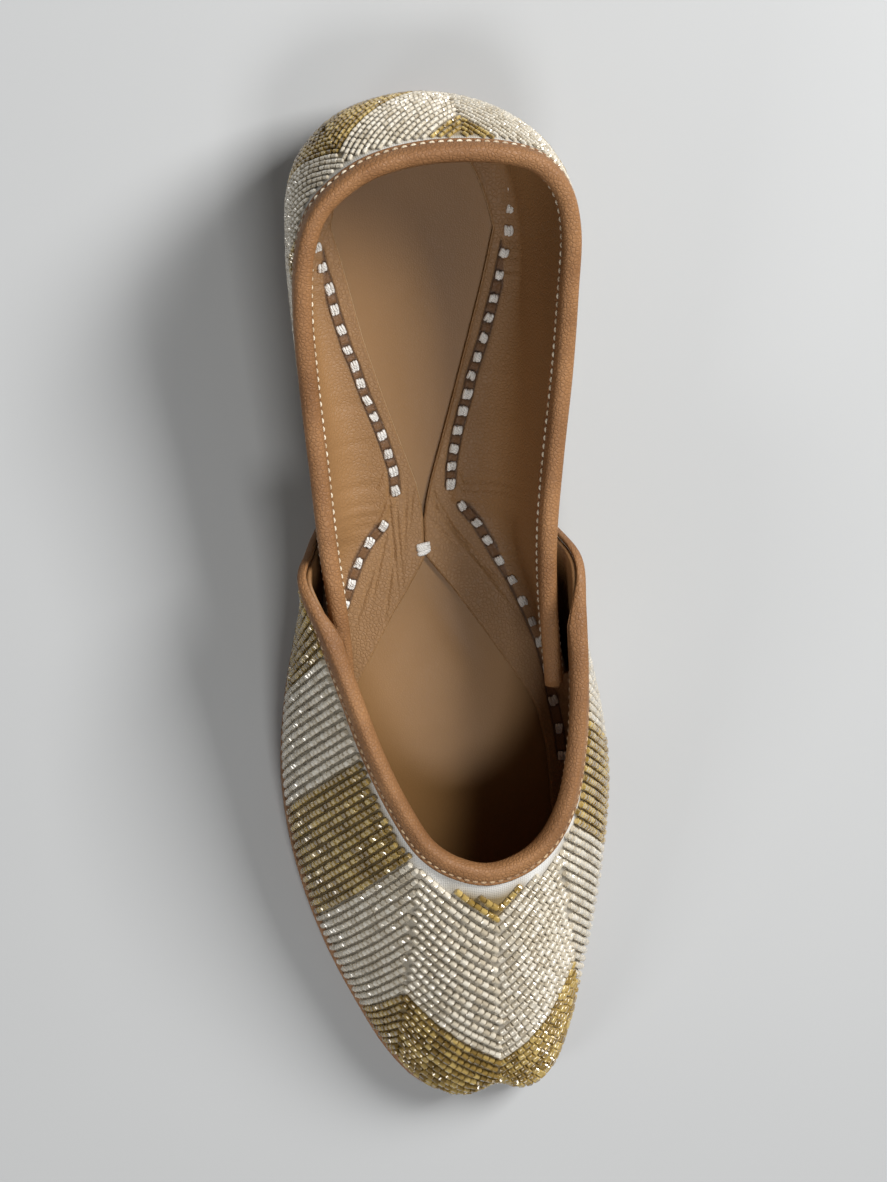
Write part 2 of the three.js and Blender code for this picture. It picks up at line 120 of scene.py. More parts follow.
# A line walked by its own length, from share 0 to share 1.
class Walk:
    def __init__(self, points):
        self.points = np.asarray(points, float)
        steps = np.linalg.norm(np.diff(self.points, axis=0), axis=1)
        self.lengths = np.concatenate([[0.0], np.cumsum(steps)])
        self.total = self.lengths[-1]

    def at(self, share):
        wanted = np.clip(share, 0.0, 1.0) * self.total
        parts = [np.interp(wanted, self.lengths, self.points[:, k]) for k in range(self.points.shape[1])]
        return np.stack(parts, axis=-1)

    def shareAt(self, s):
        beyond = distanceOf(self.points) >= s
        index = int(np.argmax(beyond)) if beyond.any() else len(self.points) - 1
        return self.lengths[index] / self.total


soleTable = {
    "heelEnd": 5.0,
    "rows": [  # s, left, right
        (9, 13, 13), (18, 20.2, 20), (36, 25, 25), (60, 23.8, 23.8), (85, 21.4, 21), (105, 23, 22.8),
        (125, 28.4, 29.6), (145, 32.8, 36.2), (165, 34.5, 39.6), (185, 32.4, 38.8), (205, 27, 36.2),
        (222, 20, 33), (236, 12.8, 29.6), (244.4, 5.8, 26),
    ],
    "toe": [(248.8, 2.5), (249.4, 12.6), (248.7, 20.5)],  # s, x
}


# The sole's edge as two halves, each from the heel's back to the toe's middle.
def soleHalves():
    left = [place(-row[1], row[0]) for row in soleTable["rows"]]
    right = [place(row[2], row[0]) for row in reversed(soleTable["rows"])]
    toe = [place(x, s) for s, x in soleTable["toe"]]
    loop = [place(0.0, soleTable["heelEnd"])] + left + toe + right
    middle = (len(left) + 2) / len(loop)
    steps = np.linspace(0.0, 1.0, 601)
    return {
        "left": curveAt(loop, middle * steps, closed=True),
        "right": curveAt(loop, 1.0 - (1.0 - middle) * steps, closed=True),
    }


soleEdge = soleHalves()


def insetHalf(side, distance):
    points = soleEdge[side]
    index = np.arange(len(points))
    along = unitRows(points[np.minimum(index + 1, len(points) - 1)] - points[np.maximum(index - 1, 0)])
    inwards = np.stack([-along[:, 1], along[:, 0], np.zeros(len(points))], axis=1) * -sides[side]
    inwards[0] = (0.0, -1.0, 0.0)
    inwards[-1] = (0.0, 1.0, 0.0)
    depth = distance(distanceOf(points)) * np.ones(len(points))
    return Walk(points + inwards * depth[:, None])


def tuckAt(s):
    return last["lapTuck"] * smoothStep(s, last["lapStart"], last["lapEnd"])


def notched(points, strength):
    across = (acrossOf(points) - last["notchX"]) / last["notchHalf"]
    near = smoothStep(distanceOf(points), last["notchStart"], last["notchEnd"])
    moved = points.copy()
    moved[..., 1] += last["notchDepth"] * strength * near * np.exp(-across * across)
    return moved


upperFoot = {side: insetHalf(side, lambda s: last["soleMargin"]) for side in sides}
quarterFoot = {side: insetHalf(side, lambda s: last["soleMargin"] + tuckAt(s)) for side in sides}

quarterTable = {
    "frontFoot": 138.0, "belly": 22.0,
    "brim": [  # the top line
        {"s": 8.8, "left": 0, "right": 0, "z": 50.6, "leftBulge": 5.7, "rightBulge": 5.7},
        {"s": 11, "left": 13.3, "right": 19.6, "z": 50.8, "leftBulge": 6.6, "rightBulge": 5.7},
        {"s": 15, "left": 20.8, "right": 25, "z": 50.6, "leftBulge": 6.8, "rightBulge": 5.2},
        {"s": 20, "left": 26, "right": 28, "z": 50, "leftBulge": 5.3, "rightBulge": 4.4},
        {"s": 28, "left": 29.2, "right": 29.6, "z": 48.8, "leftBulge": 3.2, "rightBulge": 3.2},
        {"s": 42, "left": 30.4, "right": 29.3, "z": 46, "leftBulge": 1.7, "rightBulge": 2},
        {"s": 60, "left": 29.5, "right": 28.4, "z": 42.4, "leftBulge": 1.4, "rightBulge": 1.3},
        {"s": 80, "left": 28, "right": 26.4, "z": 39.8, "leftBulge": 1.2, "rightBulge": 1.2},
        {"s": 98, "left": 26.6, "right": 24.8, "z": 38.3, "leftBulge": 1.5, "rightBulge": 1.5},
        {"s": 115, "left": 24.4, "right": 24.7, "z": 36.4, "leftBulge": 1.8, "rightBulge": 1.8},
        {"s": 136, "left": 22.6, "right": 26, "z": 32, "leftBulge": 1.8, "rightBulge": 1.8},
    ],
}


# A line through both sides, cut at its middle into two walks that start there.
def twoWalks(left, middle, right):
    controls = [place(*row) for row in left[::-1] + [middle] + right]
    cut = len(left) / (len(controls) - 1)
    steps = np.linspace(0.0, 1.0, 501)
    return {
        "left": Walk(curveAt(controls, cut * (1.0 - steps))),
        "right": Walk(curveAt(controls, cut + (1.0 - cut) * steps)),
    }


brimRows = {
    side: [(sign * row[side], row["s"], row["z"]) for row in quarterTable["brim"]]
    for side, sign in sides.items()
}
brim = twoWalks(brimRows["left"][1:], brimRows["left"][0], brimRows["right"][1:])
brimBulge = {side: column(quarterTable["brim"], "s", side + "Bulge") for side in sides}


def planOut(along, side):
    out = np.stack([along[:, 1], -along[:, 0], np.zeros(len(along))], axis=1)
    return unitRows(out) * -sides[side]


# The quarter's outer face at share u from the heel's back and height share v.
def quarterPoints(side, u, v):
    foot = quarterFoot[side]
    reach = u * foot.shareAt(quarterTable["frontFoot"])
    base = foot.at(reach)
    out = planOut(foot.at(reach + 0.004) - foot.at(np.maximum(reach - 0.004, 0.0)), side)
    out[u == 0] = (0.0, 1.0, 0.0)
    top = brim[side].at(u)
    rise = top[:, 2] - last["footBase"]
    share = (quarterTable["belly"] - last["footBase"]) / rise
    swell = brimBulge[side](distanceOf(top)) * v * (1 - v) / (share * (1 - share))
    points = base + (top - base) * v[:, None]
    points[:, 2] = last["footBase"] + rise * v
    return points + out * swell[:, None]


vampTable = {
    "wingFoot": 100.0, "rise": 1.55, "crown": 1.08, "height": 38.0, "topPace": (0.28, 0.44, 0.28),
    "middle": [(174.2, 6.5, 46)],  # s, x, z
    "left": [
        (171.8, -1, 46), (167, -7, 46), (156.5, -13, 46), (143.5, -18.4, 45.8), (129.5, -23, 45.2),
        (114, -28.2, 43), (104, -31.9, 38.5), (100.4, -28.8, 29), (99.8, -25.6, 17), (100, -22.8, 8),
    ],
    "right": [
        (172.5, 14, 46), (168, 20, 46), (159.3, 25, 46), (146, 28, 45.8), (130, 29.5, 45.2),
        (114, 30, 43), (104.5, 30.4, 38.5), (100.6, 27.8, 29), (99.8, 25, 17), (100, 22.5, 8),
    ],
    "bulge": [
        {"share": 0, "left": 0.5, "right": 0.5}, {"share": 0.25, "left": 0, "right": 1.6},
        {"share": 0.5, "left": 0.5, "right": 2.2}, {"share": 0.75, "left": 2.1, "right": 2.6},
        {"share": 1, "left": 1.6, "right": 1.6},
    ],
}
throatRows = {part: [(x, s, z) for s, x, z in vampTable[part]] for part in ("left", "middle", "right")}
throat = twoWalks(throatRows["left"], throatRows["middle"][0], throatRows["right"])
vampBulge = {side: column(vampTable["bulge"], "share", side) for side in sides}


# The vamp's outer face at share u from the toe's middle to the wing and height share v.
def vampPoints(side, u, v):
    foot = upperFoot[side]
    spot = 1.0 - u * (1.0 - foot.shareAt(vampTable["wingFoot"]))
    base = foot.at(spot)
    out = planOut(foot.at(np.minimum(spot + 0.004, 1.0)) - foot.at(spot - 0.004), side)
    out[u == 0] = (0.0, -1.0, 0.0)
    first, second, third = vampTable["topPace"]
    top = throat[side].at(u * (first + u * (second + third * u)))
    low = last["footBase"] + liftAt(distanceOf(base))
    reach = v * v
    rise = (1.0 - (1.0 - reach) ** vampTable["crown"]) ** (1.0 / vampTable["rise"])
    points = base + (top - base) * reach[:, None]
    points[:, 2] = low + (top[:, 2] - low) * rise
    hump = 27 / 4 * v * (1 - v) ** 2  # one at its peak
    swell = hump * np.clip((top[:, 2] - low) / vampTable["height"], 0.0, 1.0)
    points = points + out * (vampBulge[side](u) * swell)[:, None]
    return notched(points, 1.0 - smoothStep(points[:, 2] - low, 0.0, last["notchFade"]))


# A grid of surface points, from the left end round to the right end.
def surfaceGrid(pointsAt, shares, heights):
    turns = np.concatenate([-shares[:0:-1], shares])
    turn, height = (part.ravel() for part in np.meshgrid(turns, heights, indexing="ij"))
    points = np.zeros((len(turn), 3))
    isLeft = turn < 0
    points[isLeft] = pointsAt("left", -turn[isLeft], height[isLeft])
    points[~isLeft] = pointsAt("right", turn[~isLeft], height[~isLeft])
    return points.reshape(len(turns), len(heights), 3)


def gridNormals(grid, sign):
    return unitRows(np.cross(np.gradient(grid, axis=0), np.gradient(grid, axis=1)) * sign)


# The face at a depth inside a wall; its foot stays level with the outer foot.
def sunkGrid(grid, normals, depth):
    flat = normals.copy()
    flat[:, 0, 2] = 0.0
    sunk = grid - unitRows(flat) * (np.ones(grid.shape[:2]) * depth)[..., None]
    floor = grid[:, :1, 2] + 0.1 * np.arange(grid.shape[1])
    sunk[..., 2] = np.maximum(sunk[..., 2], floor)
    return sunk


# Mesh making
def gridInto(bm, points):
    columns, rows = points.shape[:2]
    spot = bm.verts.layers.int.get("spot") or bm.verts.layers.int.new("spot")
    made = bmesh.ops.create_grid(bm, x_segments=columns - 1, y_segments=rows - 1, size=1.0)["verts"]
    for vert in made:
        i = round((vert.co.x + 1.0) * 0.5 * (columns - 1))
        j = round((vert.co.y + 1.0) * 0.5 * (rows - 1))
        vert[spot] = i * rows + j
    flat = points.reshape(-1, 3)
    for vert in made:
        vert.co = flat[vert[spot]]


# A closed plate between two grids; its first face is the outer grid.
def plateInto(bm, outer, inner):
    gridInto(bm, outer)
    spot = bm.verts.layers.int["spot"]
    grown = bmesh.ops.extrude_face_region(bm, geom=bm.faces[:], use_keep_orig=True)
    flat = inner.reshape(-1, 3)
    for vert in grown["geom"]:
        if isinstance(vert, bmesh.types.BMVert):
            vert.co = flat[vert[spot]]
    bmesh.ops.recalc_face_normals(bm, faces=bm.faces)


def addPiece(name, bm, material, nodes):
    bmesh.ops.scale(bm, vec=(mm, mm, mm), verts=bm.verts)
    mesh = bpy.data.meshes.new(name)
    bm.to_mesh(mesh)
    bm.free()
    mesh.polygons.foreach_set("use_smooth", [True] * len(mesh.polygons))
    return showPiece(name, mesh, material, nodes)


def showPiece(name, mesh, material, nodes=()):
    mesh.materials.append(material)
    piece = bpy.data.objects.new(name, mesh)
    bpy.context.scene.collection.objects.link(piece)
    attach(piece, "root")
    if nodes:
        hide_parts(*nodes)
    print(name, len(mesh.polygons), "faces")
    return piece


# A value for each spot of the grid that a piece was made from.
def paintSpots(bm, name, values):
    spot = bm.verts.layers.int["spot"]
    paint = bm.verts.layers.float.new(name)
    flat = np.asarray(values, float).ravel()
    for vert in bm.verts:
        vert[paint] = flat[vert[spot]]


def paintFlat(bm, name, flat):
    spot = bm.verts.layers.int["spot"]
    layer = bm.loops.layers.uv.new(name)
    places = flat.reshape(-1, 2) * 0.01
    for face in bm.faces:
        for loop in face.loops:
            loop[layer].uv = places[loop.vert[spot]]


# One mesh from many placed copies of a small shape: x along, y across, z out.
def joinCopies(name, template, spots, material):
    base = np.array([vert.co[:] for vert in template.verts])
    rings = [[vert.index for vert in face.verts] for face in template.faces]
    axes = np.array([spot["axes"] for spot in spots])
    middles = np.array([spot["at"] for spot in spots])
    points = np.einsum("kc,ncd->nkd", base, axes) + middles[:, None, :]
    faces = [[n * len(base) + index for index in ring] for n in range(len(spots)) for ring in rings]
    mesh = bpy.data.meshes.new(name)
    mesh.from_pydata((points.reshape(-1, 3) * mm).tolist(), [], faces)
    tint = mesh.attributes.new("tint", "FLOAT", "POINT")
    tint.data.foreach_set("value", np.repeat([spot["tint"] for spot in spots], len(base)))
    mesh.polygons.foreach_set("use_smooth", [face.smooth for face in template.faces] * len(spots))
    showPiece(name, mesh, material)


def axesOf(along, out, sizes):
    along = along / np.linalg.norm(along)
    across = np.cross(out, along)
    across = across / np.linalg.norm(across)
    return [along * sizes[0], across * sizes[1], np.cross(along, across) * sizes[2]]


def gridQuads(columns, rows):
    corners = [i * rows + j for i in range(columns - 1) for j in range(rows - 1)]
    return [(a, a + rows, a + rows + 1, a + 1) for a in corners]


def skinTree(grid):
    points = [Vector(point) for point in grid.reshape(-1, 3)]
    return BVHTree.FromPolygons(points, gridQuads(*grid.shape[:2]))


# The new end and its ring of points, after the lid is drawn out.
def growLid(bm, lid):
    grown = bmesh.ops.extrude_face_region(bm, geom=lid)["geom"]
    faces = [part for part in grown if isinstance(part, bmesh.types.BMFace)]
    ring = [part for part in grown if isinstance(part, bmesh.types.BMVert)]
    return faces, ring


# Materials
def newFinish(name, roughness, metallic=0.0):
    finish = bpy.data.materials.new(name)
    finish.use_nodes = True
    shader = finish.node_tree.nodes["Principled BSDF"]
    shader.inputs["Roughness"].default_value = roughness
    shader.inputs["Metallic"].default_value = metallic
    return finish, finish.node_tree, shader


def feed(tree, socket, value):
    if isinstance(value, bpy.types.NodeSocket):
        tree.links.new(value, socket)
    elif socket.type == "RGBA":
        socket.default_value = (*value, 1.0)
    else:
        socket.default_value = value


def addNode(tree, kind, inputs=(), **settings):
    node = tree.nodes.new(kind)
    for name, value in settings.items():
        setattr(node, name, value)
    for name, value in dict(inputs).items():
        feed(tree, node.inputs[name], value)
    return node


def painted(tree, name):
    return addNode(tree, "ShaderNodeAttribute", attribute_name=name).outputs["Fac"]


def objectPlaces(tree):
    return addNode(tree, "ShaderNodeTexCoord").outputs["Object"]


# Relief of a depth in millimetres, over any that the shader has already.
def addBump(tree, shader, height, strength, depth):
    bump = addNode(tree, "ShaderNodeBump", {"Height": height, "Strength": strength, "Distance": depth * mm})
    for link in list(shader.inputs["Normal"].links):
        tree.links.new(link.from_socket, bump.inputs["Normal"])
    tree.links.new(bump.outputs["Normal"], shader.inputs["Normal"])


def colorRamp(tree, factor, stops):
    ramp = addNode(tree, "ShaderNodeValToRGB", {"Fac": factor})
    elements = ramp.color_ramp.elements
    while len(elements) < len(stops):
        elements.new(0.5)
    for element, (position, color) in zip(elements, stops):
        element.position = position
        element.color = (*color, 1.0)
    return ramp.outputs["Color"]


def mixColor(tree, factor, first, second, blend="MIX"):
    node = addNode(tree, "ShaderNodeMix", data_type="RGBA", blend_type=blend)
    for index, value in ((0, factor), (6, first), (7, second)):  # the colour sockets of the mix
        feed(tree, node.inputs[index], value)
    return node.outputs[2]


def mathNode(tree, operation, first, second):
    node = addNode(tree, "ShaderNodeMath", operation=operation)
    feed(tree, node.inputs[0], first)
    feed(tree, node.inputs[1], second)
    return node.outputs[0]


# Leather with pores or pebbles, fine scratches and a slow change of tone.
def leatherFinish(name, look):
    finish, tree, shader = newFinish(name, look["roughness"])
    where = objectPlaces(tree)
    slow = addNode(tree, "ShaderNodeTexNoise", {"Vector": where, "Scale": look["toneScale"], "Detail": 4.0})
    color = colorRamp(tree, slow.outputs["Fac"], look["tones"])
    fine = addNode(tree, "ShaderNodeTexNoise", {"Vector": where, "Scale": look["grain"] * 2.3, "Detail": 6.0})
    cells = addNode(tree, "ShaderNodeTexVoronoi", {"Vector": where, "Scale": look["grain"]},
                    feature="DISTANCE_TO_EDGE")
    crack = addNode(tree, "ShaderNodeMapRange", {"Value": cells.outputs["Distance"], "From Max": 0.22})
    grain = crack.outputs["Result"]
    dark = tuple(0.62 * part for part in look["tones"][0][1])
    furrow = mathNode(tree, "MULTIPLY", mathNode(tree, "SUBTRACT", 1.0, grain), look["furrow"])
    color = mixColor(tree, furrow, color, dark)
    for paint, tone, share in look.get("paints", ()):
        strength = mathNode(tree, "MULTIPLY", painted(tree, paint), share)
        color = mixColor(tree, strength, color, tone)
    tree.links.new(color, shader.inputs["Base Color"])
    rough = addNode(tree, "ShaderNodeMapRange", {
        "Value": fine.outputs["Fac"], "From Min": 0.3, "From Max": 0.7,
        "To Min": look["roughness"] - 0.07, "To Max": look["roughness"] + 0.1})
    tree.links.new(rough.outputs["Result"], shader.inputs["Roughness"])
    addBump(tree, shader, grain, look["relief"], look["depth"])
    addBump(tree, shader, fine.outputs["Fac"], look["relief"] * 0.6, look["depth"])
    shader.inputs["Coat Weight"].default_value = look["coat"]
    shader.inputs["Coat Roughness"].default_value = 0.35
    shader.inputs["Specular IOR Level"].default_value = look["shine"]
    return finish


leatherLooks = {
    "bindingLeather": {
        "roughness": 0.5, "toneScale": 70.0, "grain": 1150.0, "furrow": 0.3, "relief": 0.6, "depth": 0.15,
        "coat": 0.03, "shine": 0.25, "tones": [(0.3, (0.205, 0.094, 0.036)), (0.7, (0.325, 0.161, 0.066))],
        # seam: painted shade, the stitch groove darkened as if in shadow
        "paints": [("seam", (0.10, 0.042, 0.018), 0.7)],
    },
    "footbedLeather": {
        "roughness": 0.42, "toneScale": 24.0, "grain": 1900.0, "furrow": 0.1, "relief": 0.16, "depth": 0.08,
        "coat": 0.03, "shine": 0.25, "tones": [(0.25, (0.242, 0.127, 0.044)), (0.8, (0.322, 0.173, 0.064))],
    },
    "flapLeather": {
        "roughness": 0.5, "toneScale": 40.0, "grain": 1150.0, "furrow": 0.3, "relief": 0.5, "depth": 0.16,
        "coat": 0.03, "shine": 0.3, "tones": [(0.25, (0.25, 0.135, 0.055)), (0.75, (0.335, 0.187, 0.082))],
        # seam: painted shade, near black in the stitch grooves and holes of the flaps
        "paints": [("smooth", (0.26, 0.137, 0.053), 0.75), ("band", (0.12, 0.056, 0.023), 0.75),
                   ("seam", (0.03, 0.014, 0.007), 0.9), ("raw", (0.62, 0.45, 0.27), 0.8)],
    },
    "liningLeather": {
        "roughness": 0.52, "toneScale": 30.0, "grain": 1300.0, "furrow": 0.2, "relief": 0.3, "depth": 0.12,
        "coat": 0.03, "shine": 0.3, "tones": [(0.25, (0.22, 0.11, 0.042)), (0.75, (0.30, 0.152, 0.06))],
    },
    "soleLeather": {
        "roughness": 0.55, "toneScale": 35.0, "grain": 1100.0, "furrow": 0.3, "relief": 0.4, "depth": 0.15,
        "coat": 0.05, "shine": 0.35, "tones": [(0.25, (0.27, 0.135, 0.06)), (0.75, (0.38, 0.2, 0.095))],
    },
}
leathers = {name: leatherFinish(name, look) for name, look in leatherLooks.items()}


# Glass beads with a metal lining; each bead has a tone of its own.
def beadFinish(name, tones):
    finish, tree, shader = newFinish(name, 0.2, metallic=0.12)
    where = objectPlaces(tree)
    tree.links.new(colorRamp(tree, painted(tree, "tint"), tones), shader.inputs["Base Color"])
    streaks = addNode(tree, "ShaderNodeTexNoise", {"Vector": where, "Scale": 2600.0, "Detail": 2.0})
    addBump(tree, shader, streaks.outputs["Fac"], 0.12, 0.1)
    shader.inputs["Coat Weight"].default_value = 1.0
    shader.inputs["Coat Roughness"].default_value = 0.1
    shader.inputs["Coat IOR"].default_value = 1.75
    return finish


beadFinishes = {
    "silver": beadFinish("silverBeads", [
        (0.0, (0.47, 0.40, 0.29)), (0.35, (0.64, 0.565, 0.435)), (1.0, (0.77, 0.705, 0.585))]),
    "gold": beadFinish("goldBeads", [
        (0.0, (0.185, 0.112, 0.024)), (0.4, (0.335, 0.215, 0.052)), (1.0, (0.57, 0.41, 0.135))]),
}


# Woven base cloth: grey-olive under the beads, bare off-white canvas along the edges.
def clothFinish():
    finish, tree, shader = newFinish("baseCloth", 0.8)
    where = addNode(tree, "ShaderNodeUVMap", uv_map="flat").outputs["UV"]
    weave = []
    for turn in (0.0, math.pi / 2):
        turned = addNode(tree, "ShaderNodeMapping", {"Vector": where, "Rotation": (0.0, 0.0, turn)})
        wave = addNode(tree, "ShaderNodeTexWave", {
            "Vector": turned.outputs["Vector"], "Scale": 62.0, "Distortion": 0.6, "Detail": 1.0})
        weave.append(wave.outputs["Fac"])
    height = mathNode(tree, "MAXIMUM", *weave)
    mottle = addNode(tree, "ShaderNodeTexNoise", {"Vector": where, "Scale": 14.0, "Detail": 4.0})
    grey = colorRamp(tree, mottle.outputs["Fac"], [(0.3, (0.37, 0.325, 0.25)), (0.7, (0.48, 0.43, 0.345))])
    olive = colorRamp(tree, mottle.outputs["Fac"], [(0.3, (0.19, 0.13, 0.045)), (0.7, (0.27, 0.19, 0.075))])
    under = mixColor(tree, painted(tree, "golden"), grey, olive)
    canvas = colorRamp(tree, mottle.outputs["Fac"], [(0.3, (0.72, 0.70, 0.66)), (0.7, (0.84, 0.83, 0.80))])
    color = mixColor(tree, painted(tree, "margin"), under, canvas)
    shade = mixColor(tree, 0.35, color, height, blend="MULTIPLY")
    tree.links.new(shade, shader.inputs["Base Color"])
    addBump(tree, shader, height, 0.5, 0.15)
    shader.inputs["Sheen Weight"].default_value = 0.25
    return finish


# Twisted cotton thread, pale or dark by its own tone.
def threadFinish(name, tones):
    finish, tree, shader = newFinish(name, 0.75)
    where = objectPlaces(tree)
    twist = addNode(tree, "ShaderNodeTexWave", {
        "Vector": where, "Scale": 900.0, "Distortion": 3.0, "Detail": 2.0}, bands_direction="DIAGONAL")
    color = colorRamp(tree, painted(tree, "tint"), tones)
    color = mixColor(tree, 0.25, color, twist.outputs["Color"], blend="MULTIPLY")
    tree.links.new(color, shader.inputs["Base Color"])
    addBump(tree, shader, twist.outputs["Fac"], 0.5, 0.12)
    shader.inputs["Sheen Weight"].default_value = 0.3
    return finish


clothBase = clothFinish()
cottonThread = threadFinish("cottonThread", [(0.0, (0.62, 0.58, 0.52)), (1.0, (0.90, 0.88, 0.83))])
edgeThreads = {
    "vamp_roll": threadFinish("tanThread", [(0.0, (0.27, 0.15, 0.07)), (1.0, (0.62, 0.43, 0.24))]),
    "collar_roll": threadFinish("creamThread", [(0.0, (0.45, 0.33, 0.20)), (1.0, (0.80, 0.70, 0.53))]),
}


# Outsole: rings of its edge at each height, with a line round the side.
outsoleSizes = {"thickness": 4.5, "bevel": 0.6, "groove": 0.45, "outset": 0.8, "columns": 150, "rows": 14}


def soleRing(inset, z):
    halves = {side: insetHalf(side, lambda s: inset - outsoleSizes["outset"]) for side in sides}
    shares = endShares(outsoleSizes["columns"])
    across = np.linspace(0.0, 1.0, outsoleSizes["rows"] + 1)[None, :, None]
    left = halves["left"].at(shares)[:, None, :]
    right = halves["right"].at(shares)[:, None, :]
    points = notched(left + (right - left) * across, 1.0)
    points[..., 2] = z + liftAt(distanceOf(points))
    return points


def buildOutsole():
    thick, bevel, groove = (outsoleSizes[key] for key in ("thickness", "bevel", "groove"))
    bm = bmesh.new()
    gridInto(bm, soleRing(bevel, 0.0))
    bmesh.ops.remove_doubles(bm, verts=bm.verts, dist=1e-5)
    spot = bm.verts.layers.int["spot"]
    rim = [edge for edge in bm.edges if edge.is_boundary]
    levels = [  # inset and height
        (0.18, bevel * 0.35), (0.0, bevel), (0.0, 2.25), (groove * 0.7, 2.4), (groove, 2.55),
        (groove * 0.7, 2.7), (0.0, 2.85), (0.0, thick - 0.35), (0.12, thick - 0.1), (0.35, thick),
    ]
    for inset, z in levels:
        ring = soleRing(inset, z).reshape(-1, 3)
        grown = bmesh.ops.extrude_edge_only(bm, edges=rim)["geom"]
        rim = [part for part in grown if isinstance(part, bmesh.types.BMEdge)]
        for part in grown:
            if isinstance(part, bmesh.types.BMVert):
                part.co = ring[part[spot]]
    gridInto(bm, soleRing(*levels[-1]))
    bmesh.ops.remove_doubles(bm, verts=bm.verts, dist=1e-3)
    bmesh.ops.recalc_face_normals(bm, faces=bm.faces)
    addPiece("outsole_leather", bm, leathers["soleLeather"], ["outsole"])


# Footbed and its crowned pad
footbedSizes = {
    "thickness": 3.2, "gap": 1.4, "toeEnd": 239.0, "tuckFade": (142.0, 152.0), "columns": 110, "rows": 41,
    "crown": 2.2, "crownRise": (103.0, 145.0), "crownFall": (200.0, 240.0),
    "edgeDip": 0.5, "edgeRound": 1.2, "flapThickness": 1.2, "flapGap": 0.42, "layer": 0.55,
}


def footbedInset(s):
    tuck = tuckAt(s) * (1.0 - smoothStep(s, *footbedSizes["tuckFade"]))
    return last["soleMargin"] + last["wall"] + footbedSizes["gap"] + tuck


footbedEdge = {side: insetHalf(side, footbedInset) for side in sides}


def footbedX(side, s):
    points = footbedEdge[side].points
    far = np.maximum.accumulate(distanceOf(points))
    return np.interp(s, far, acrossOf(points))


def footbedTop(x, s):
    left, right = footbedX("left", s), footbedX("right", s)
    across = np.clip((x - left) / (right - left) * 2.0 - 1.0, -1.0, 1.0)
    along = smoothStep(s, *footbedSizes["crownRise"]) * (1.0 - smoothStep(s, *footbedSizes["crownFall"]))
    crown = footbedSizes["crown"] * along * (1.0 - across * across) ** 2
    return last["footBase"] + footbedSizes["thickness"] + liftAt(s) + crown


# Soft folds pressed into leather: middle x and s, half length, turn in degrees, half width, depth.
def creaseLift(x, s, creases):
    lift = np.zeros(np.broadcast(x, s).shape)
    for middleX, middleS, length, turn, width, depth in creases:
        angle = math.radians(turn)
        along = (x - middleX) * math.sin(angle) + (s - middleS) * math.cos(angle)
        off = ((x - middleX) * math.cos(angle) - (s - middleS) * math.sin(angle)) / width
        lift -= depth * (1.0 - 0.9 * off * off) * np.exp(-off * off) * np.exp(-(along / length) ** 2)
    return lift


insoleCreases = [
    (4.0, 126.0, 10.0, 30.0, 3.0, 0.16), (-3.0, 133.0, 9.0, -35.0, 3.4, 0.14),
    (8.0, 160.0, 16.0, 70.0, 4.5, 0.15), (-2.0, 70.0, 12.0, 8.0, 4.0, 0.12),
    (3.0, 45.0, 14.0, -10.0, 5.0, 0.12),
]


def buildInsole():
    first = distanceOf(footbedEdge["left"].points)[0] + 0.5
    stations = first + (footbedSizes["toeEnd"] - first) * endShares(footbedSizes["columns"])
    across = np.linspace(0.0, 1.0, footbedSizes["rows"])
    s = stations[:, None] * np.ones_like(across)
    left, right = footbedX("left", s), footbedX("right", s)
    x = left + (right - left) * across
    top = np.stack([x + last["axisShift"], last["heelBack"] - s, footbedTop(x, s)], axis=-1)
    low = top.copy()
    low[..., 2] = last["footBase"] + liftAt(s)
    edge = np.minimum(across, 1.0 - across) * (right - left)
    top[..., 2] += creaseLift(x, s, insoleCreases) * smoothStep(edge, 1.0, 6.0)
    top[..., 2] -= footbedSizes["edgeDip"] * (1.0 - smoothStep(edge, 0.0, footbedSizes["edgeRound"]))
    bm = bmesh.new()
    plateInto(bm, top, low)
    piece = addPiece("footbed_pad", bm, leathers["footbedLeather"], ["insole"])


# Lining that runs down the walls and turns in over the footbed as two sewn flaps.
flapSizes = {
    "start": 17.0, "end": 178.0, "stations": 366, "wallRows": 9, "coveRows": 14, "flapRows": 58,
    "off": 0.16, "skin": 0.12, "cove": 8.5, "coveReach": 6.5, "underBinding": 2.6,
    "wallEnd": (133.0, 141.0), "lowWall": 5.0, "coveFoot": 1.5, "leastCove": 0.8,
    "seamRoom": 1.5, "edgeRoom": 2.0, "rawEnd": (93.0, 99.0),
    "rail": 1.15, "rung": 1.1, "pucker": 0.16, "railWidth": 0.26, "rungWidth": 0.36, "seamDip": 0.26,
    "bandEdge": (0.95, 1.4), "layerEdge": (-0.6, 1.6), "crossing": 97.0, "edgeDip": 0.3, "edgeRound": 0.5,
}
flapEdges = {  # s and x of the cut edge
    "left": [
        (17, 17), (29.6, 18.5), (40.4, 15.9), (57.2, 12.1), (70.9, 8.1), (78.5, 5.7), (86.1, 3.2),
        (92, 1.25), (97, 0.3), (100.4, -0.05), (110, 0.05), (111.4, 0.8), (117.6, 4.5), (123, 8.1),
        (130.8, 12.4), (138.2, 16.6), (146, 20.6), (154, 24), (162, 25.4), (178, 25),
    ],
    "right": [
        (17, 17), (19, 17.9), (22, 18.8), (25, 19.3), (27.9, 19.4), (31, 19.2), (33.9, 18.6), (40, 17.1),
        (46.7, 15.4), (58.9, 11.9), (70.5, 8.5), (81.6, 5.2), (91.1, 2.3), (97.3, 0.75), (101, 0.12),
        (109, 0.12), (110, 0.45), (118.6, 6.7), (128.5, 13.1), (137.4, 18.6), (144.5, 23), (150, 25.4),
        (160, 27.4), (178, 28.4),
    ],
}
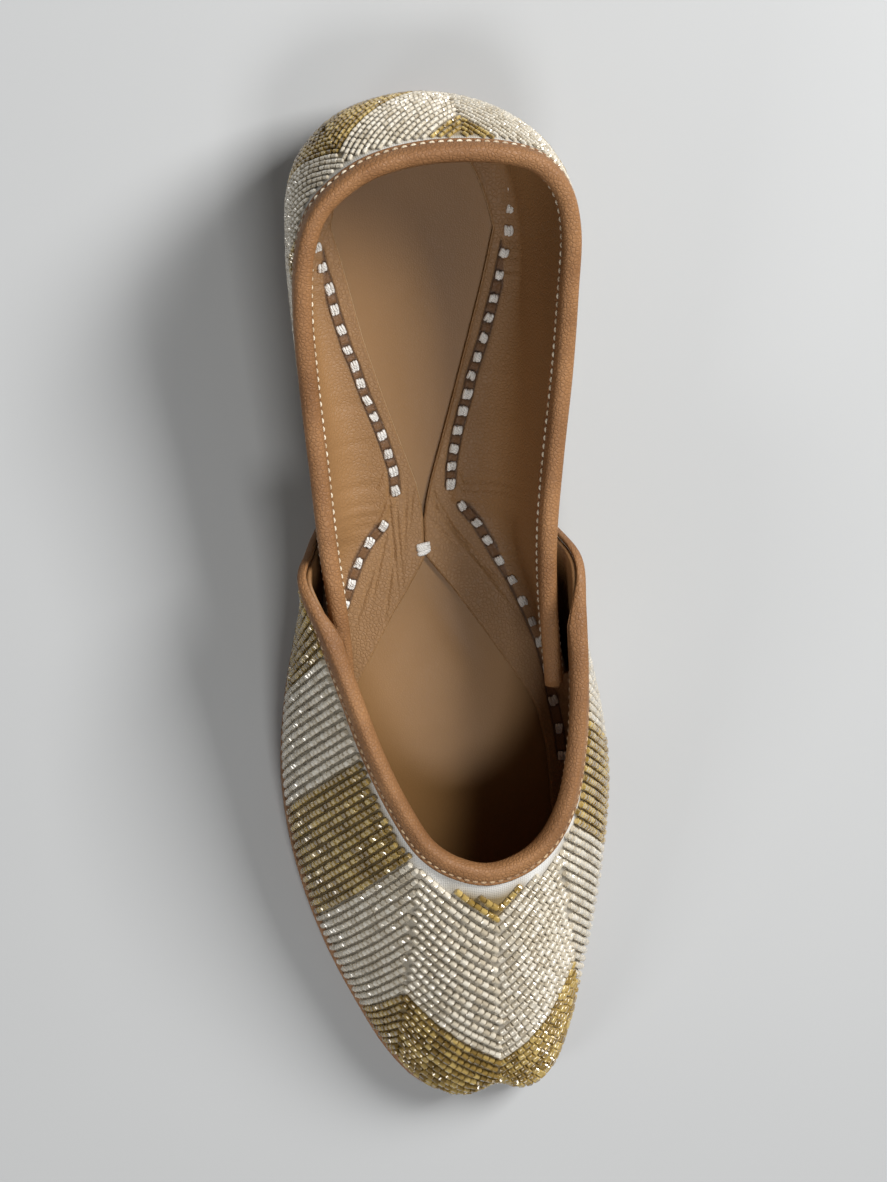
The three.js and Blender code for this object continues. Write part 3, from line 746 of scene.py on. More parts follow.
flapSewing = {  # x and s of each stitch
    "left": {
        "rear": [
            (-22.2, 26.5), (-22, 31), (-21.4, 35.7), (-20.6, 40.3), (-19.2, 45.3), (-18.3, 50), (-17, 54.9),
            (-15.8, 59.6), (-14.4, 63.4), (-13.2, 67.5), (-11.9, 71.5), (-10.4, 75.6), (-8.9, 80),
            (-7.6, 84.5), (-6.5, 88.7), (-6.3, 93.4),
        ],
        "front": [
            (-9.4, 101.5), (-12.9, 105.2), (-15.6, 109.9), (-17.5, 114.8), (-19.3, 119.6), (-21.1, 124.4),
            (-22.6, 129.5), (-24, 134.8), (-25.2, 140),
        ],
    },
    "right": {
        "rear": [
            (22.4, 20), (22.8, 25.1), (22.6, 30), (21.9, 34.8), (20.7, 39.8), (19.5, 44.9), (18, 50),
            (16.7, 54.5), (15.4, 59), (13.8, 63.4), (12.3, 67.6), (11.3, 71.8), (10, 75.7), (8.7, 80.2),
            (7.7, 84.5), (6.9, 88.6), (6.6, 92.8),
        ],
        "front": [
            (9.1, 98.2), (12.4, 102.5), (14.7, 106.9), (17.4, 112.1), (20.3, 117.1), (22.6, 122.4),
            (24.7, 127.8), (26.5, 132.9), (28, 139.5), (29.2, 147.9), (30.4, 155), (31, 162),
        ],
    },
}
# Main creases by the crossing, placed from the photo: middle x and s, half length, turn, half width, depth.
flapCreases = {
    "left": [
        (-7.4, 103, 13, 3, 0.5, 0.34), (-9.2, 97, 8, -22, 0.45, 0.3), (-5.8, 107, 10, 2, 0.45, 0.3),
        (-11.2, 94, 7, -20, 0.6, 0.26), (-4.2, 101, 8, -4, 0.5, 0.24), (-10.4, 110, 8, -14, 0.5, 0.26),
        (-13.4, 88, 9, -19, 0.7, 0.28), (-8.2, 114, 9, -10, 0.5, 0.24), (-12.8, 100, 6, -34, 0.5, 0.26),
        (-14, 117, 7, -20, 0.6, 0.22), (-2.6, 97, 6, -8, 0.45, 0.2), (-16, 80, 10, -18, 1.2, 0.3),
    ],
    "right": [
        (7.2, 104, 9, 36, 0.5, 0.34), (9.6, 107, 10, 40, 0.5, 0.3), (5.2, 100, 7, 26, 0.45, 0.28),
        (12.2, 98, 7, 34, 0.5, 0.34), (10.6, 94.5, 6, 20, 0.45, 0.34), (15.5, 102.5, 6, 38, 0.55, 0.28),
        (12.6, 112, 9, 38, 0.5, 0.26), (4.2, 104, 6, 40, 0.45, 0.24), (17.4, 84, 10, 12, 1.3, 0.34),
        (20, 92, 9, 22, 1.4, 0.34), (14.5, 90, 8, 8, 0.8, 0.3), (16, 117, 8, 34, 0.6, 0.22),
        (3, 97, 5, 8, 0.45, 0.2),
    ],
}


def flapEdgeAt(side, s):
    rows = np.array(flapEdges[side], float)
    return np.interp(s, rows[:, 0], rows[:, 1])


def sewingWalk(side, row):
    return Walk([(x, s, 0.0) for x, s in flapSewing[side][row]])


# Distances of a place from a row of stitches and, along it, from a stitch; then the row's nearest point.
def seamPlace(side, row, x, s):
    walk = sewingWalk(side, row)
    shares = np.linspace(0.0, 1.0, 400)
    line = walk.at(shares)
    apart = np.hypot(x[..., None] - line[:, 0], s[..., None] - line[:, 1])
    nearest = np.argmin(apart, axis=-1)
    along = shares[nearest] * walk.total
    stitch = np.min(np.abs(along[..., None] - walk.lengths), axis=-1)
    return np.min(apart, axis=-1), stitch, line[nearest]


# Each row is a ladder: a rail on either side and a rung at both ends of every stitch. The seam ladder is
# painted shade for the stitch grooves and holes, and it also sinks them.
def flapLayers(side, x, s):
    sign = sides[side]
    seam = np.zeros(x.shape)
    band = np.zeros(x.shape)
    for row in ("rear", "front"):
        apart, stitch, _ = seamPlace(side, row, x, s)
        inside = 1.0 - smoothStep(apart, *flapSizes["bandEdge"])
        rail = 0.8 * np.exp(-((apart - flapSizes["rail"]) / flapSizes["railWidth"]) ** 2)
        rung = inside * np.exp(-((stitch - flapSizes["rung"]) / flapSizes["rungWidth"]) ** 2)
        seam = np.maximum(seam, np.maximum(rail, rung))
        band = np.maximum(band, inside)
    _, _, nearest = seamPlace(side, "front", x, s)
    beyond = sign * (x - nearest[..., 0]) - 0.55 * (s - nearest[..., 1])
    _, _, nearest = seamPlace(side, "rear", x, s)
    outside = np.where(s < flapSizes["crossing"], sign * (x - nearest[..., 0]), beyond)
    return smoothStep(outside, *flapSizes["layerEdge"]), seam, band


def flapTop(side, x, s):
    smooth, seam, band = flapLayers(side, x, s)
    top = footbedTop(x, s) + footbedSizes["flapGap"] + footbedSizes["flapThickness"]
    top = top + footbedSizes["layer"] * smooth + flapSizes["pucker"] * band
    return top - flapSizes["seamDip"] * seam + creaseLift(x, s, flapCreases[side])


# Across positions of the wall's inner face at each s and height.
def wallAcross(side, s, z):
    trees = [skinTree(quarterInner), skinTree(vampInner)]
    found = np.zeros(s.shape)
    aim = Vector((sides[side], 0.0, 0.0))
    for spot in np.ndindex(s.shape):
        start = Vector(place(0.0, s[spot], z[spot]))
        hits = [tree.ray_cast(start, aim)[3] for tree in trees]
        found[spot] = min([hit for hit in hits if hit is not None] or [np.nan])
    return sides[side] * found


def smoothedAlong(values):
    rows = np.arange(len(values))
    window = np.hanning(15)[1:-1]
    out = values.copy()
    for k in range(values.shape[1]):
        good = np.isfinite(values[:, k])
        line = np.interp(rows, rows[good], values[good, k])
        spread = np.pad(line, len(window) // 2, mode="edge")
        out[:, k] = np.convolve(spread, window / window.sum(), mode="valid")
    return out


# The outermost row of stitches at each s.
def sewnLine(side):
    rows = flapSewing[side]["rear"] + flapSewing[side]["front"]
    return [s for _, s in rows], [x for x, _ in rows]


def buildFlap(side):
    sign, sizes = sides[side], flapSizes
    stations = np.linspace(sizes["start"], sizes["end"], sizes["stations"])[:, None]
    wallSide = footbedX(side, stations)
    inner = np.minimum(flapEdgeAt(side, stations), np.abs(wallSide) - sizes["edgeRoom"]) * sign
    width = np.abs(wallSide - inner)
    sewn = np.abs(np.interp(stations, *sewnLine(side)))
    room = np.clip(np.abs(wallSide) - sewn - sizes["seamRoom"], sizes["leastCove"], sizes["coveReach"])
    bend = wallSide - sign * np.minimum(room, 0.5 * width)
    share = np.linspace(0.0, 1.0, sizes["flapRows"])
    x = bend + (inner - bend) * share
    s = stations + 0.0 * x
    top = flapTop(side, x, s)
    edge = (1.0 - share) * np.abs(inner - bend)
    top -= sizes["edgeDip"] * (1.0 - smoothStep(edge, 0.0, sizes["edgeRound"]))
    low = footbedTop(x, s) + footbedSizes["flapGap"]

    rimAt, rimHeight = zip(*[(row["s"], row["z"]) for row in quarterTable["brim"]])
    rim = np.interp(stations, rimAt, rimHeight)
    foot = top[:, :1]
    opened = 1.0 - smoothStep(stations, *sizes["wallEnd"])
    lowest = foot + sizes["lowWall"]
    crest = lowest + (rim - sizes["underBinding"] - lowest) * opened
    bendHeight = sizes["coveFoot"] + sizes["cove"] * room / sizes["coveReach"]
    start = np.minimum(foot + bendHeight, crest - 0.5)
    down = np.linspace(0.0, 1.0, sizes["wallRows"])
    wallZ = crest + (start - crest) * down
    corner = foot + 1.0
    heights = np.concatenate([wallZ, corner], axis=1)
    across = smoothedAlong(wallAcross(side, stations + 0.0 * heights, heights)) - sign * sizes["off"]
    wallX, cornerX = across[:, :-1], across[:, -1:]
    turn = np.linspace(0.0, 1.0, sizes["coveRows"] + 2)[1:-1]

    def cove(first, middle, final):
        return first * (1 - turn) ** 2 + middle * 2 * turn * (1 - turn) + final * turn ** 2

    coveX = cove(wallX[:, -1:], cornerX, x[:, :1])
    coveZ = cove(start, foot + 0.15, foot)
    backX = cove(wallX[:, -1:] + sign * sizes["skin"], cornerX + sign * sizes["skin"], x[:, :1])
    backZ = cove(start, low[:, :1], low[:, :1])
    allX = np.concatenate([wallX, coveX, x], axis=1)
    upper = np.concatenate([wallZ, coveZ, top], axis=1)
    lowX = np.concatenate([wallX + sign * sizes["skin"], backX, x], axis=1)
    lower = np.concatenate([wallZ, backZ, low], axis=1)
    y = last["heelBack"] - stations + 0.0 * allX
    smooth, seam, band = flapLayers(side, allX, stations + 0.0 * allX)
    rows = sizes["wallRows"] + sizes["coveRows"]
    smooth[:, :rows] = 1.0
    seam[:, :rows] = 0.0
    band[:, :rows] = 0.0
    raw = np.zeros(allX.shape)
    raw[:, -1] = 1.0 - smoothStep(stations[:, 0], *sizes["rawEnd"])
    bm = bmesh.new()
    plateInto(bm, np.stack([allX + last["axisShift"], y, upper], axis=-1),
              np.stack([lowX + last["axisShift"], y, lower], axis=-1))
    # seam paints shade into the stitch grooves and holes
    for paint, values in (("smooth", smooth), ("seam", seam), ("band", band), ("raw", raw)):
        paintSpots(bm, paint, values)
    name = "flap_" + side
    addPiece("lining_" + name, bm, leathers["flapLeather"], [name])


# Beads in rows across panels of the flat pattern, in bands of silver and gold.
beadShape = {
    "length": 1.72, "radius": 0.54, "pitch": 1.9, "sides": 6, "end": 0.7, "endShare": 0.14,
    "alongWander": 0.06, "rowWander": 0.08, "tilt": 0.008, "lengths": (0.92, 1.05), "widths": (0.92, 1.06),
    "afterFold": 0.3, "beforeFold": 0.1,
}
# A fold is a line, x at y = 0 and its drift per y; edges are the rows, at x = 0, where the colour changes.
# size scales a bead's length and thickness; margin is the bare edge, what it grows by, and from s to s.
beadPatterns = {
    "vamp": {
        "spacing": [1.97, 2.4, 2.25, 1.95], "size": (1.06, 1.5), "sink": 0.35, "firstGold": 1,
        "footMargin": 1.3, "margin": (4.9, 1.9, 128.0, 168.0), "end": 250.0,
        "folds": [(-400.0, 0.0), (-16.9, -0.137), (1.8, -0.0446), (17.4, 0.1175), (400.0, 0.0)],
        "slopes": [-1.17, 1.08, -0.95, 1.42],
        "edges": [(-137.0, -100.6, -64.9, -26.5, 14.9), (-110.0, -70.0, -30.0, 13.4, 64.7),
                  (-110.0, -70.0, -30.0, 14.8, 64.5), (-160.0, -118.9, -78.6, -35.2, 16.4)],
    },
    "quarter": {
        "spacing": [1.4] * 12, "size": (0.83, 0.9), "sink": 0.15, "firstGold": 0,
        "footMargin": 1.3, "margin": (5.0, 0.0, 0.0, 1.0), "end": 97.0,
        "zigzag": (4.3, 26.5, 1.1), "levels": (12.5, 37.5, 66.0),
    },
}


# The quarter's folds stand upright at even steps, and its bands run on through all panels.
def fillPanels(plan):
    middle, step, slope = plan["zigzag"]
    panels = len(plan["spacing"])
    marks = [middle + step * (k - panels // 2) for k in range(panels + 1)]
    plan["folds"] = [(mark, 0.0) for mark in marks]
    plan["slopes"] = [slope if k % 2 else -slope for k in range(panels)]
    plan["edges"] = []
    for k, tilt in enumerate(plan["slopes"]):
        corner = marks[k] if tilt < 0 else marks[k + 1]
        plan["edges"].append([level - tilt * corner for level in plan["levels"]])


fillPanels(beadPatterns["quarter"])


def foldAt(plan, k, y):
    start, drift = plan["folds"][k]
    return start + drift * y


def marginAt(plan, s):
    width, growth, start, end = plan["margin"]
    return width + growth * smoothStep(s, start, end)


def bandColor(plan, k, row):
    band = sum(row > edge for edge in plan["edges"][k])
    return "gold" if band % 2 == plan["firstGold"] else "silver"


# The upper: cloth outside, leather lining inside.
upperSizes = {
    "cloth": 1.0, "seam": 0.05, "patternStep": 4, "vampRounds": 150, "quarterRounds": 30,
    "quarterColumns": 91, "quarterRows": 29, "quarterPace": 1.15,
    "vampColumns": 110, "vampRows": 37, "vampReach": 0.99,
    "lapSeam": 1.5, "lapStart": (102.0, 106.0), "lapEnd": (118.0, 132.0), "lapTop": (20.0, 27.0),
}
quarterTurns = np.linspace(0.0, 1.0, upperSizes["quarterColumns"]) ** upperSizes["quarterPace"]
quarterGrid = surfaceGrid(quarterPoints, quarterTurns, np.linspace(0.0, 1.0, upperSizes["quarterRows"]))
quarterOut = gridNormals(quarterGrid, -1.0)
vampTurns = upperSizes["vampReach"] * endShares(upperSizes["vampColumns"])
vampGrid = surfaceGrid(vampPoints, vampTurns, np.linspace(0.0, 1.0, upperSizes["vampRows"]))
vampOut = gridNormals(vampGrid, 1.0)


def vampWall(grid):
    s = distanceOf(grid)
    along = smoothStep(s, *upperSizes["lapStart"]) * (1.0 - smoothStep(s, *upperSizes["lapEnd"]))
    up = 1.0 - smoothStep(grid[..., 2], *upperSizes["lapTop"])
    return last["wall"] + upperSizes["lapSeam"] * along * up


quarterInner = sunkGrid(quarterGrid, quarterOut, last["wall"])
vampInner = sunkGrid(vampGrid, vampOut, vampWall(vampGrid))


# Length down the surface from the top edge.
def edgeDistance(grid):
    steps = np.linalg.norm(np.diff(grid[:, ::-1], axis=1), axis=2)
    down = np.concatenate([np.zeros((len(grid), 1)), np.cumsum(steps, axis=1)], axis=1)
    return down[:, ::-1]


def lineLengths(grid):
    return sum(np.linalg.norm(np.diff(grid, axis=axis), axis=2).sum() for axis in (0, 1))


# The sheet as it was cut flat: x across and y down from the middle of the top edge, in millimetres.
def flatPattern(fine, rounds):
    grid = fine[::upperSizes["patternStep"], ::upperSizes["patternStep"]]
    bm = bmesh.new()
    gridInto(bm, grid)
    spot = bm.verts.layers.int["spot"]
    order = [vert[spot] for vert in bm.verts]
    mesh = bpy.data.meshes.new("pattern")
    bm.to_mesh(mesh)
    bm.free()
    sheet = bpy.data.objects.new("pattern", mesh)
    bpy.context.scene.collection.objects.link(sheet)
    bpy.context.view_layer.objects.active = sheet
    sheet.select_set(True)
    mesh.uv_layers.new(name="flat")
    bpy.ops.object.mode_set(mode="EDIT")
    bpy.ops.mesh.select_all(action="SELECT")
    bpy.ops.uv.unwrap(method="MINIMUM_STRETCH", iterations=rounds, margin=0.0, correct_aspect=False)
    bpy.ops.object.mode_set(mode="OBJECT")
    flat = np.zeros((len(mesh.vertices), 2))
    layer = mesh.uv_layers["flat"].data
    for loop in mesh.loops:
        flat[order[loop.vertex_index]] = layer[loop.index].uv
    bpy.data.objects.remove(sheet)
    flat = flat.reshape(*grid.shape[:2], 2)
    middle = grid.shape[0] // 2
    flat = (flat - flat[middle, -1]) * lineLengths(grid) / lineLengths(flat)
    down = flat[middle, 0] / np.linalg.norm(flat[middle, 0])
    across = np.array([down[1], -down[0]])
    turned = np.stack([flat @ across, flat @ down], axis=-1)
    if turned[-1, -1, 0] < 0:
        turned[..., 0] *= -1.0
    columns, rows = (np.linspace(0.0, 1.0, count) for count in fine.shape[:2])
    finer = np.stack([curveAt(line, rows) for line in turned])
    return np.stack([curveAt(finer[:, k], columns) for k in range(len(rows))], axis=1)


vampFlat = flatPattern(vampGrid, upperSizes["vampRounds"])
quarterFlat = flatPattern(quarterGrid, upperSizes["quarterRounds"])
print("patterns", np.ptp(vampFlat.reshape(-1, 2), axis=0), np.ptp(quarterFlat.reshape(-1, 2), axis=0))


def goldenPlaces(flat, plan):
    golden = np.zeros(flat.shape[:2])
    for spot in np.ndindex(golden.shape):
        x, y = flat[spot]
        inside = [k for k in range(len(plan["slopes"])) if foldAt(plan, k, y) <= x < foldAt(plan, k + 1, y)]
        if inside:
            golden[spot] = bandColor(plan, inside[0], y - plan["slopes"][inside[0]] * x) == "gold"
    return golden


def buildCloth(name, grid, normals, flat):
    plan = beadPatterns[name]
    margin = edgeDistance(grid) - marginAt(plan, distanceOf(grid))
    bm = bmesh.new()
    plateInto(bm, grid, sunkGrid(grid, normals, upperSizes["cloth"]))
    paintSpots(bm, "margin", 1.0 - smoothStep(margin, -0.3, 0.8))
    paintSpots(bm, "golden", goldenPlaces(flat, plan))
    paintFlat(bm, "flat", flat)
    addPiece(name + "_cloth", bm, clothBase, ["upper"])


def buildLining(name, grid, normals, wall):
    bm = bmesh.new()
    top = sunkGrid(grid, normals, upperSizes["cloth"] + upperSizes["seam"])
    plateInto(bm, top, sunkGrid(grid, normals, wall))
    addPiece(name, bm, leathers["liningLeather"], ["upper"])


def beadTemplate():
    length, end, endShare = (beadShape[key] for key in ("length", "end", "endShare"))
    bm = bmesh.new()
    bmesh.ops.create_circle(bm, segments=beadShape["sides"], radius=beadShape["radius"] * end, cap_ends=True)
    bmesh.ops.translate(bm, verts=bm.verts, vec=(0.0, 0.0, -length / 2))
    lid = bm.faces[:]
    for rise, scale in ((endShare, 1.0 / end), (1.0 - 2 * endShare, 1.0), (endShare, end)):
        lid, ring = growLid(bm, lid)
        bmesh.ops.translate(bm, verts=ring, vec=(0.0, 0.0, rise * length))
        bmesh.ops.scale(bm, verts=ring, vec=(scale, scale, 1.0))
    bmesh.ops.recalc_face_normals(bm, faces=bm.faces)
    bmesh.ops.rotate(bm, verts=bm.verts, matrix=Matrix.Rotation(math.pi / 2, 3, "Y"))
    bm.normal_update()
    for face in bm.faces:
        face.smooth = abs(face.normal.x) < 0.1
    bm.verts.index_update()
    return bm


# Where the flat pattern lies on the shoe.
class Pattern:
    def __init__(self, grid, flat, normals):
        self.flat = [Vector((*point, 0.0)) for point in flat.reshape(-1, 2)]
        self.real = [Vector(point) for point in grid.reshape(-1, 3)]
        self.out = [Vector(point) for point in normals.reshape(-1, 3)]
        down = edgeDistance(grid)
        total = down[:, :1]
        self.edge = [Vector((a, b, 0.0)) for a, b in zip(down.ravel(), (total - down).ravel())]
        self.triangles = []
        for a, b, c, d in gridQuads(*grid.shape[:2]):
            self.triangles += [(a, b, c), (a, c, d)]
        self.tree = BVHTree.FromPolygons(self.flat, self.triangles)

    def carry(self, x, y, along):
        hit = self.tree.ray_cast(Vector((x, y, 5.0)), Vector((0.0, 0.0, -1.0)))
        if hit[2] is None:
            return None
        corners = self.triangles[hit[2]]
        source = [self.flat[corner] for corner in corners]
        spot = Vector((x, y, 0.0))

        def moved(table, point):
            return barycentric_transform(point, *source, *[table[corner] for corner in corners])

        at = moved(self.real, spot)
        ahead = moved(self.real, spot + Vector((*along, 0.0)) * 0.2)
        return {"at": np.array(at), "along": np.array(ahead - at), "out": np.array(moved(self.out, spot)),
                "edge": moved(self.edge, spot)}


def layBeads(pattern, plan):
    spots = {"silver": [], "gold": []}
    places = np.array(pattern.flat)
    low, high = places.min(axis=0), places.max(axis=0)
    alongWander, rowWander = beadShape["alongWander"], beadShape["rowWander"]
    for k, slope in enumerate(plan["slopes"]):
        length = math.hypot(1.0, slope)
        along = (1.0 / length, slope / length)
        first = max(low[0], min(foldAt(plan, k, low[1]), foldAt(plan, k, high[1])))
        final = min(high[0], max(foldAt(plan, k + 1, low[1]), foldAt(plan, k + 1, high[1])))
        step = beadShape["pitch"] * plan["size"][0] / length
        corners = [y - slope * x for x in (first, final) for y in (low[1], high[1])]
        for row in np.arange(min(corners), max(corners), plan["spacing"][k] * length):
            color = bandColor(plan, k, row)
            shift = dice.random() * step
            for n in range(int((final - first) / step) + 1):
                x = first + shift + n * step + dice.uniform(-alongWander, alongWander)
                y = row + slope * x + dice.uniform(-rowWander, rowWander)
                start = foldAt(plan, k, y) + beadShape["afterFold"]
                end = foldAt(plan, k + 1, y) - beadShape["beforeFold"]
                if not start < x < end or not low[1] < y < high[1]:
                    continue
                spot = pattern.carry(x, y, along)
                if spot is None:
                    continue
                s = distanceOf(spot["at"])
                inside = spot["edge"].x > marginAt(plan, s) and spot["edge"].y > plan["footMargin"]
                if inside and s < plan["end"]:
                    spots[color].append(spot)
    return spots


def strewBeads(name, pattern, template):
    plan = beadPatterns[name]
    size, tilt = plan["size"], beadShape["tilt"]
    height = beadShape["radius"] * size[1] - plan["sink"]
    for color, found in layBeads(pattern, plan).items():
        placed = []
        for spot in found:
            out = spot["out"] / np.linalg.norm(spot["out"])
            along = spot["along"] + np.array([dice.uniform(-tilt, tilt) for _ in range(3)])
            long = size[0] * dice.uniform(*beadShape["lengths"])
            thick = size[1] * dice.uniform(*beadShape["widths"])
            axes = np.array(axesOf(along, out, (long, thick, thick)))
            roll = dice.uniform(0.0, math.pi / 3)
            turned = [axes[0], axes[1] * math.cos(roll) + axes[2] * math.sin(roll),
                      axes[2] * math.cos(roll) - axes[1] * math.sin(roll)]
            placed.append({"at": spot["at"] + out * height, "axes": turned, "tint": dice.random()})
        joinCopies(name + "_beads_" + color, template, placed, beadFinishes[color])


def buildBeads():
    template = beadTemplate()
    strewBeads("vamp", Pattern(vampGrid, vampFlat, vampOut), template)
    strewBeads("quarter", Pattern(quarterGrid, quarterFlat, quarterOut), template)
    template.free()


# Rolled bindings over the edges, with rows of stitches.
bindingSizes = {
    "leather": 0.6, "gap": 0.25, "outerLeg": 3.5, "collarInnerLeg": 3.8, "vampInnerLeg": 2.8,
    "sewnEdge": 0.9, "puff": 0.16, "grooveAt": 1.05, "innerGroove": 1.5, "flare": 0.7,
    "stitchPitch": 1.95, "stitch": (1.35, 0.66, 0.55), "stitchLift": 0.16, "outerRow": 4, "innerRow": 17,
    "stitchSlant": 0.12, "stitchBow": 0.5, "wingOpen": (105.0, 130.0),
}


# Across the wall and past its edge; where the wall is sewn down the inner leg draws back.
def bindingSection(innerLeg, opened):
    leather, gap, outerLeg = (bindingSizes[key] for key in ("leather", "gap", "outerLeg"))
    inside = last["wall"] / 2 + gap
    outside = inside + leather
    past = gap + leather
    shut = -last["wall"] / 2 + bindingSizes["sewnEdge"]
    turn = min(max(2 * opened, 0.0), 1.0)
    leg = min(max(2 * opened - 1, 0.0), 1.0)
    puff, flare, groove = (bindingSizes[key] for key in ("puff", "flare", "grooveAt"))
    row = bindingSizes["innerGroove"]

    def over(a, b, shutB):
        return (shut + (a - shut) * turn, shutB * past + (b - shutB * past) * leg)

    return [
        (inside + 0.1, -outerLeg), (outside - 0.12, -outerLeg + 0.04), (outside, -outerLeg + 0.3),
        (outside - 0.02, -outerLeg + groove - 0.34), (outside - 0.2, -outerLeg + groove),
        (outside + puff * 0.5, -outerLeg + groove + 0.42), (outside + puff, -outerLeg * 0.4),
        (outside + puff, -outerLeg * 0.18), (outside + puff * 0.5, 0.1),
        (outside * 0.88, past * 0.62), (outside * 0.6, past * 0.98), (outside * 0.25, past * 1.16),
        over(-outside * 0.1, past * 1.18, 1.14), over(-outside * 0.5, past * 1.04, 1.02),
        over(-outside * 0.88, past * 0.62, 0.95), over(-outside - puff * 0.5, 0.0, 0.85),
        over(-outside - flare * 0.5, -innerLeg + row + 0.45, 0.75),
        over(-outside - flare * 0.45, -innerLeg + row, 0.72),
        over(-outside - flare * 0.85, -innerLeg + row - 0.4, 0.7),
        over(-outside - flare, -innerLeg + 0.3, 0.66), over(-outside - flare + 0.15, -innerLeg, 0.62),
        over(-inside, -innerLeg, 0.58),
        (shut + (-inside - shut) * turn, gap), (inside, gap),
    ]


def bindingGrid(outer, inner, innerLeg, openAt):
    middles = (outer[:, -1] + inner[:, -1]) / 2
    outs = unitRows(outer[:, -1] - inner[:, -1])
    alongs = unitRows(np.gradient(middles, axis=0))
    downs = outer[:, -2] - outer[:, -1]
    pasts = unitRows(np.cross(alongs, outs))
    pasts *= np.where(np.sum(pasts * downs, axis=1) > 0, -1.0, 1.0)[:, None]
    outerTree, innerTree = skinTree(outer), skinTree(inner)
    half = last["wall"] / 2
    grid = []
    for middle, out, past in zip(middles, outs, pasts):
        ring = []
        for a, b in bindingSection(innerLeg, openAt(distanceOf(middle))):
            point = middle + out * a + past * b
            if b < -0.3:
                tree = outerTree if a > 0 else innerTree
                sign = 1.0 if a > 0 else -1.0
                near, normal, _, _ = tree.find_nearest(Vector(middle + past * b + out * sign * half))
                normal = np.array(normal) * (1.0 if np.dot(normal, out) > 0 else -1.0)
                point = np.array(near) + normal * (a - sign * half)
            ring.append(point)
        ring.append(ring[0])
        grid.append(ring)
    return np.array(grid), outs


def strandTemplate(bow):
    bm = bmesh.new()
    bmesh.ops.create_circle(bm, segments=6, radius=0.3, cap_ends=True)
    bmesh.ops.rotate(bm, verts=bm.verts, matrix=Matrix.Rotation(math.pi / 2, 3, "Y"))
    bmesh.ops.translate(bm, verts=bm.verts, vec=(-0.5, 0.0, -bow))
    lid = bm.faces[:]
    previous = (-0.5, -bow)
    for step, thick in ((-0.36, 1.45), (-0.12, 1.12), (0.12, 1.0), (0.36, 1 / 1.12), (0.5, 1 / 1.45)):
        rise = bow * (1.0 - (2.0 * step) ** 2) - bow
        lid, ring = growLid(bm, lid)
        move = (step - previous[0], 0.0, rise - previous[1])
        bmesh.ops.translate(bm, verts=ring, vec=move)
        bmesh.ops.scale(bm, verts=ring, vec=(1.0, thick, thick),
                        space=Matrix.Translation((-step, 0.0, -rise)))
        previous = (step, rise)
    bmesh.ops.recalc_face_normals(bm, faces=bm.faces)
    for face in bm.faces:
        face.smooth = True
    bm.verts.index_update()
    return bm


def stitchRow(line, outs, skip):
    walk = Walk(line)
    count = int(walk.total / bindingSizes["stitchPitch"])
    shares = np.arange(1, count) / count
    columnShares = np.interp(shares * walk.total, walk.lengths, np.linspace(0.0, 1.0, len(line)))
    spots = []
    for share, columnShare in zip(shares, columnShares):
        at = walk.at(share)
        if skip(at):
            continue
        along = walk.at(share + 0.002) - walk.at(share - 0.002)
        along = along / np.linalg.norm(along)
        out = outs[int(round(columnShare * (len(outs) - 1)))]
        slant = along + np.cross(out, along) * bindingSizes["stitchSlant"]
        spots.append({
            "at": at + out * bindingSizes["stitchLift"], "tint": dice.random(),
            "axes": axesOf(slant, out, bindingSizes["stitch"]),
        })
    return spots


def buildBinding(name, node, outer, inner, innerLeg, openAt):
    grid, outs = bindingGrid(outer, inner, innerLeg, openAt)
    bm = bmesh.new()
    gridInto(bm, grid)
    # The seam paint darkens the grooves of both stitch rows as painted shade.
    seam = np.zeros(grid.shape[:2])
    seam[:, [bindingSizes["outerRow"], bindingSizes["innerRow"]]] = 1.0
    paintSpots(bm, "seam", seam)
    bmesh.ops.remove_doubles(bm, verts=bm.verts, dist=1e-4)
    bmesh.ops.holes_fill(bm, edges=[edge for edge in bm.edges if edge.is_boundary], sides=0)
    bmesh.ops.recalc_face_normals(bm, faces=bm.faces)
    addPiece(name, bm, leathers["bindingLeather"], [node])
    spots = stitchRow(grid[:, bindingSizes["outerRow"]], outs, lambda at: False)
    inside = stitchRow(grid[:, bindingSizes["innerRow"]], -outs, lambda at: openAt(distanceOf(at)) < 0.98)
    template = strandTemplate(bindingSizes["stitchBow"])
    joinCopies(name + "_stitches", template, spots + inside, edgeThreads[name])
    template.free()


# Thick cotton stitches of three strands along each row of the flaps, and one where the flaps meet.
cottonSizes = {
    "length": 2.3, "strand": 0.98, "spread": 0.6, "rise": 0.3, "bow": 0.35,
    "lengths": (0.82, 1.1), "sizes": (0.85, 1.05), "widths": (0.85, 1.1), "tints": (0.35, 1.0),
    "skew": 0.2, "wander": 0.08, "slip": 0.15, "splay": 0.16,
    "middle": (-0.3, 107.7), "middleAlong": (0.98, 0.2, 0.0), "middleLength": 3.3, "middleSize": 1.4,
}


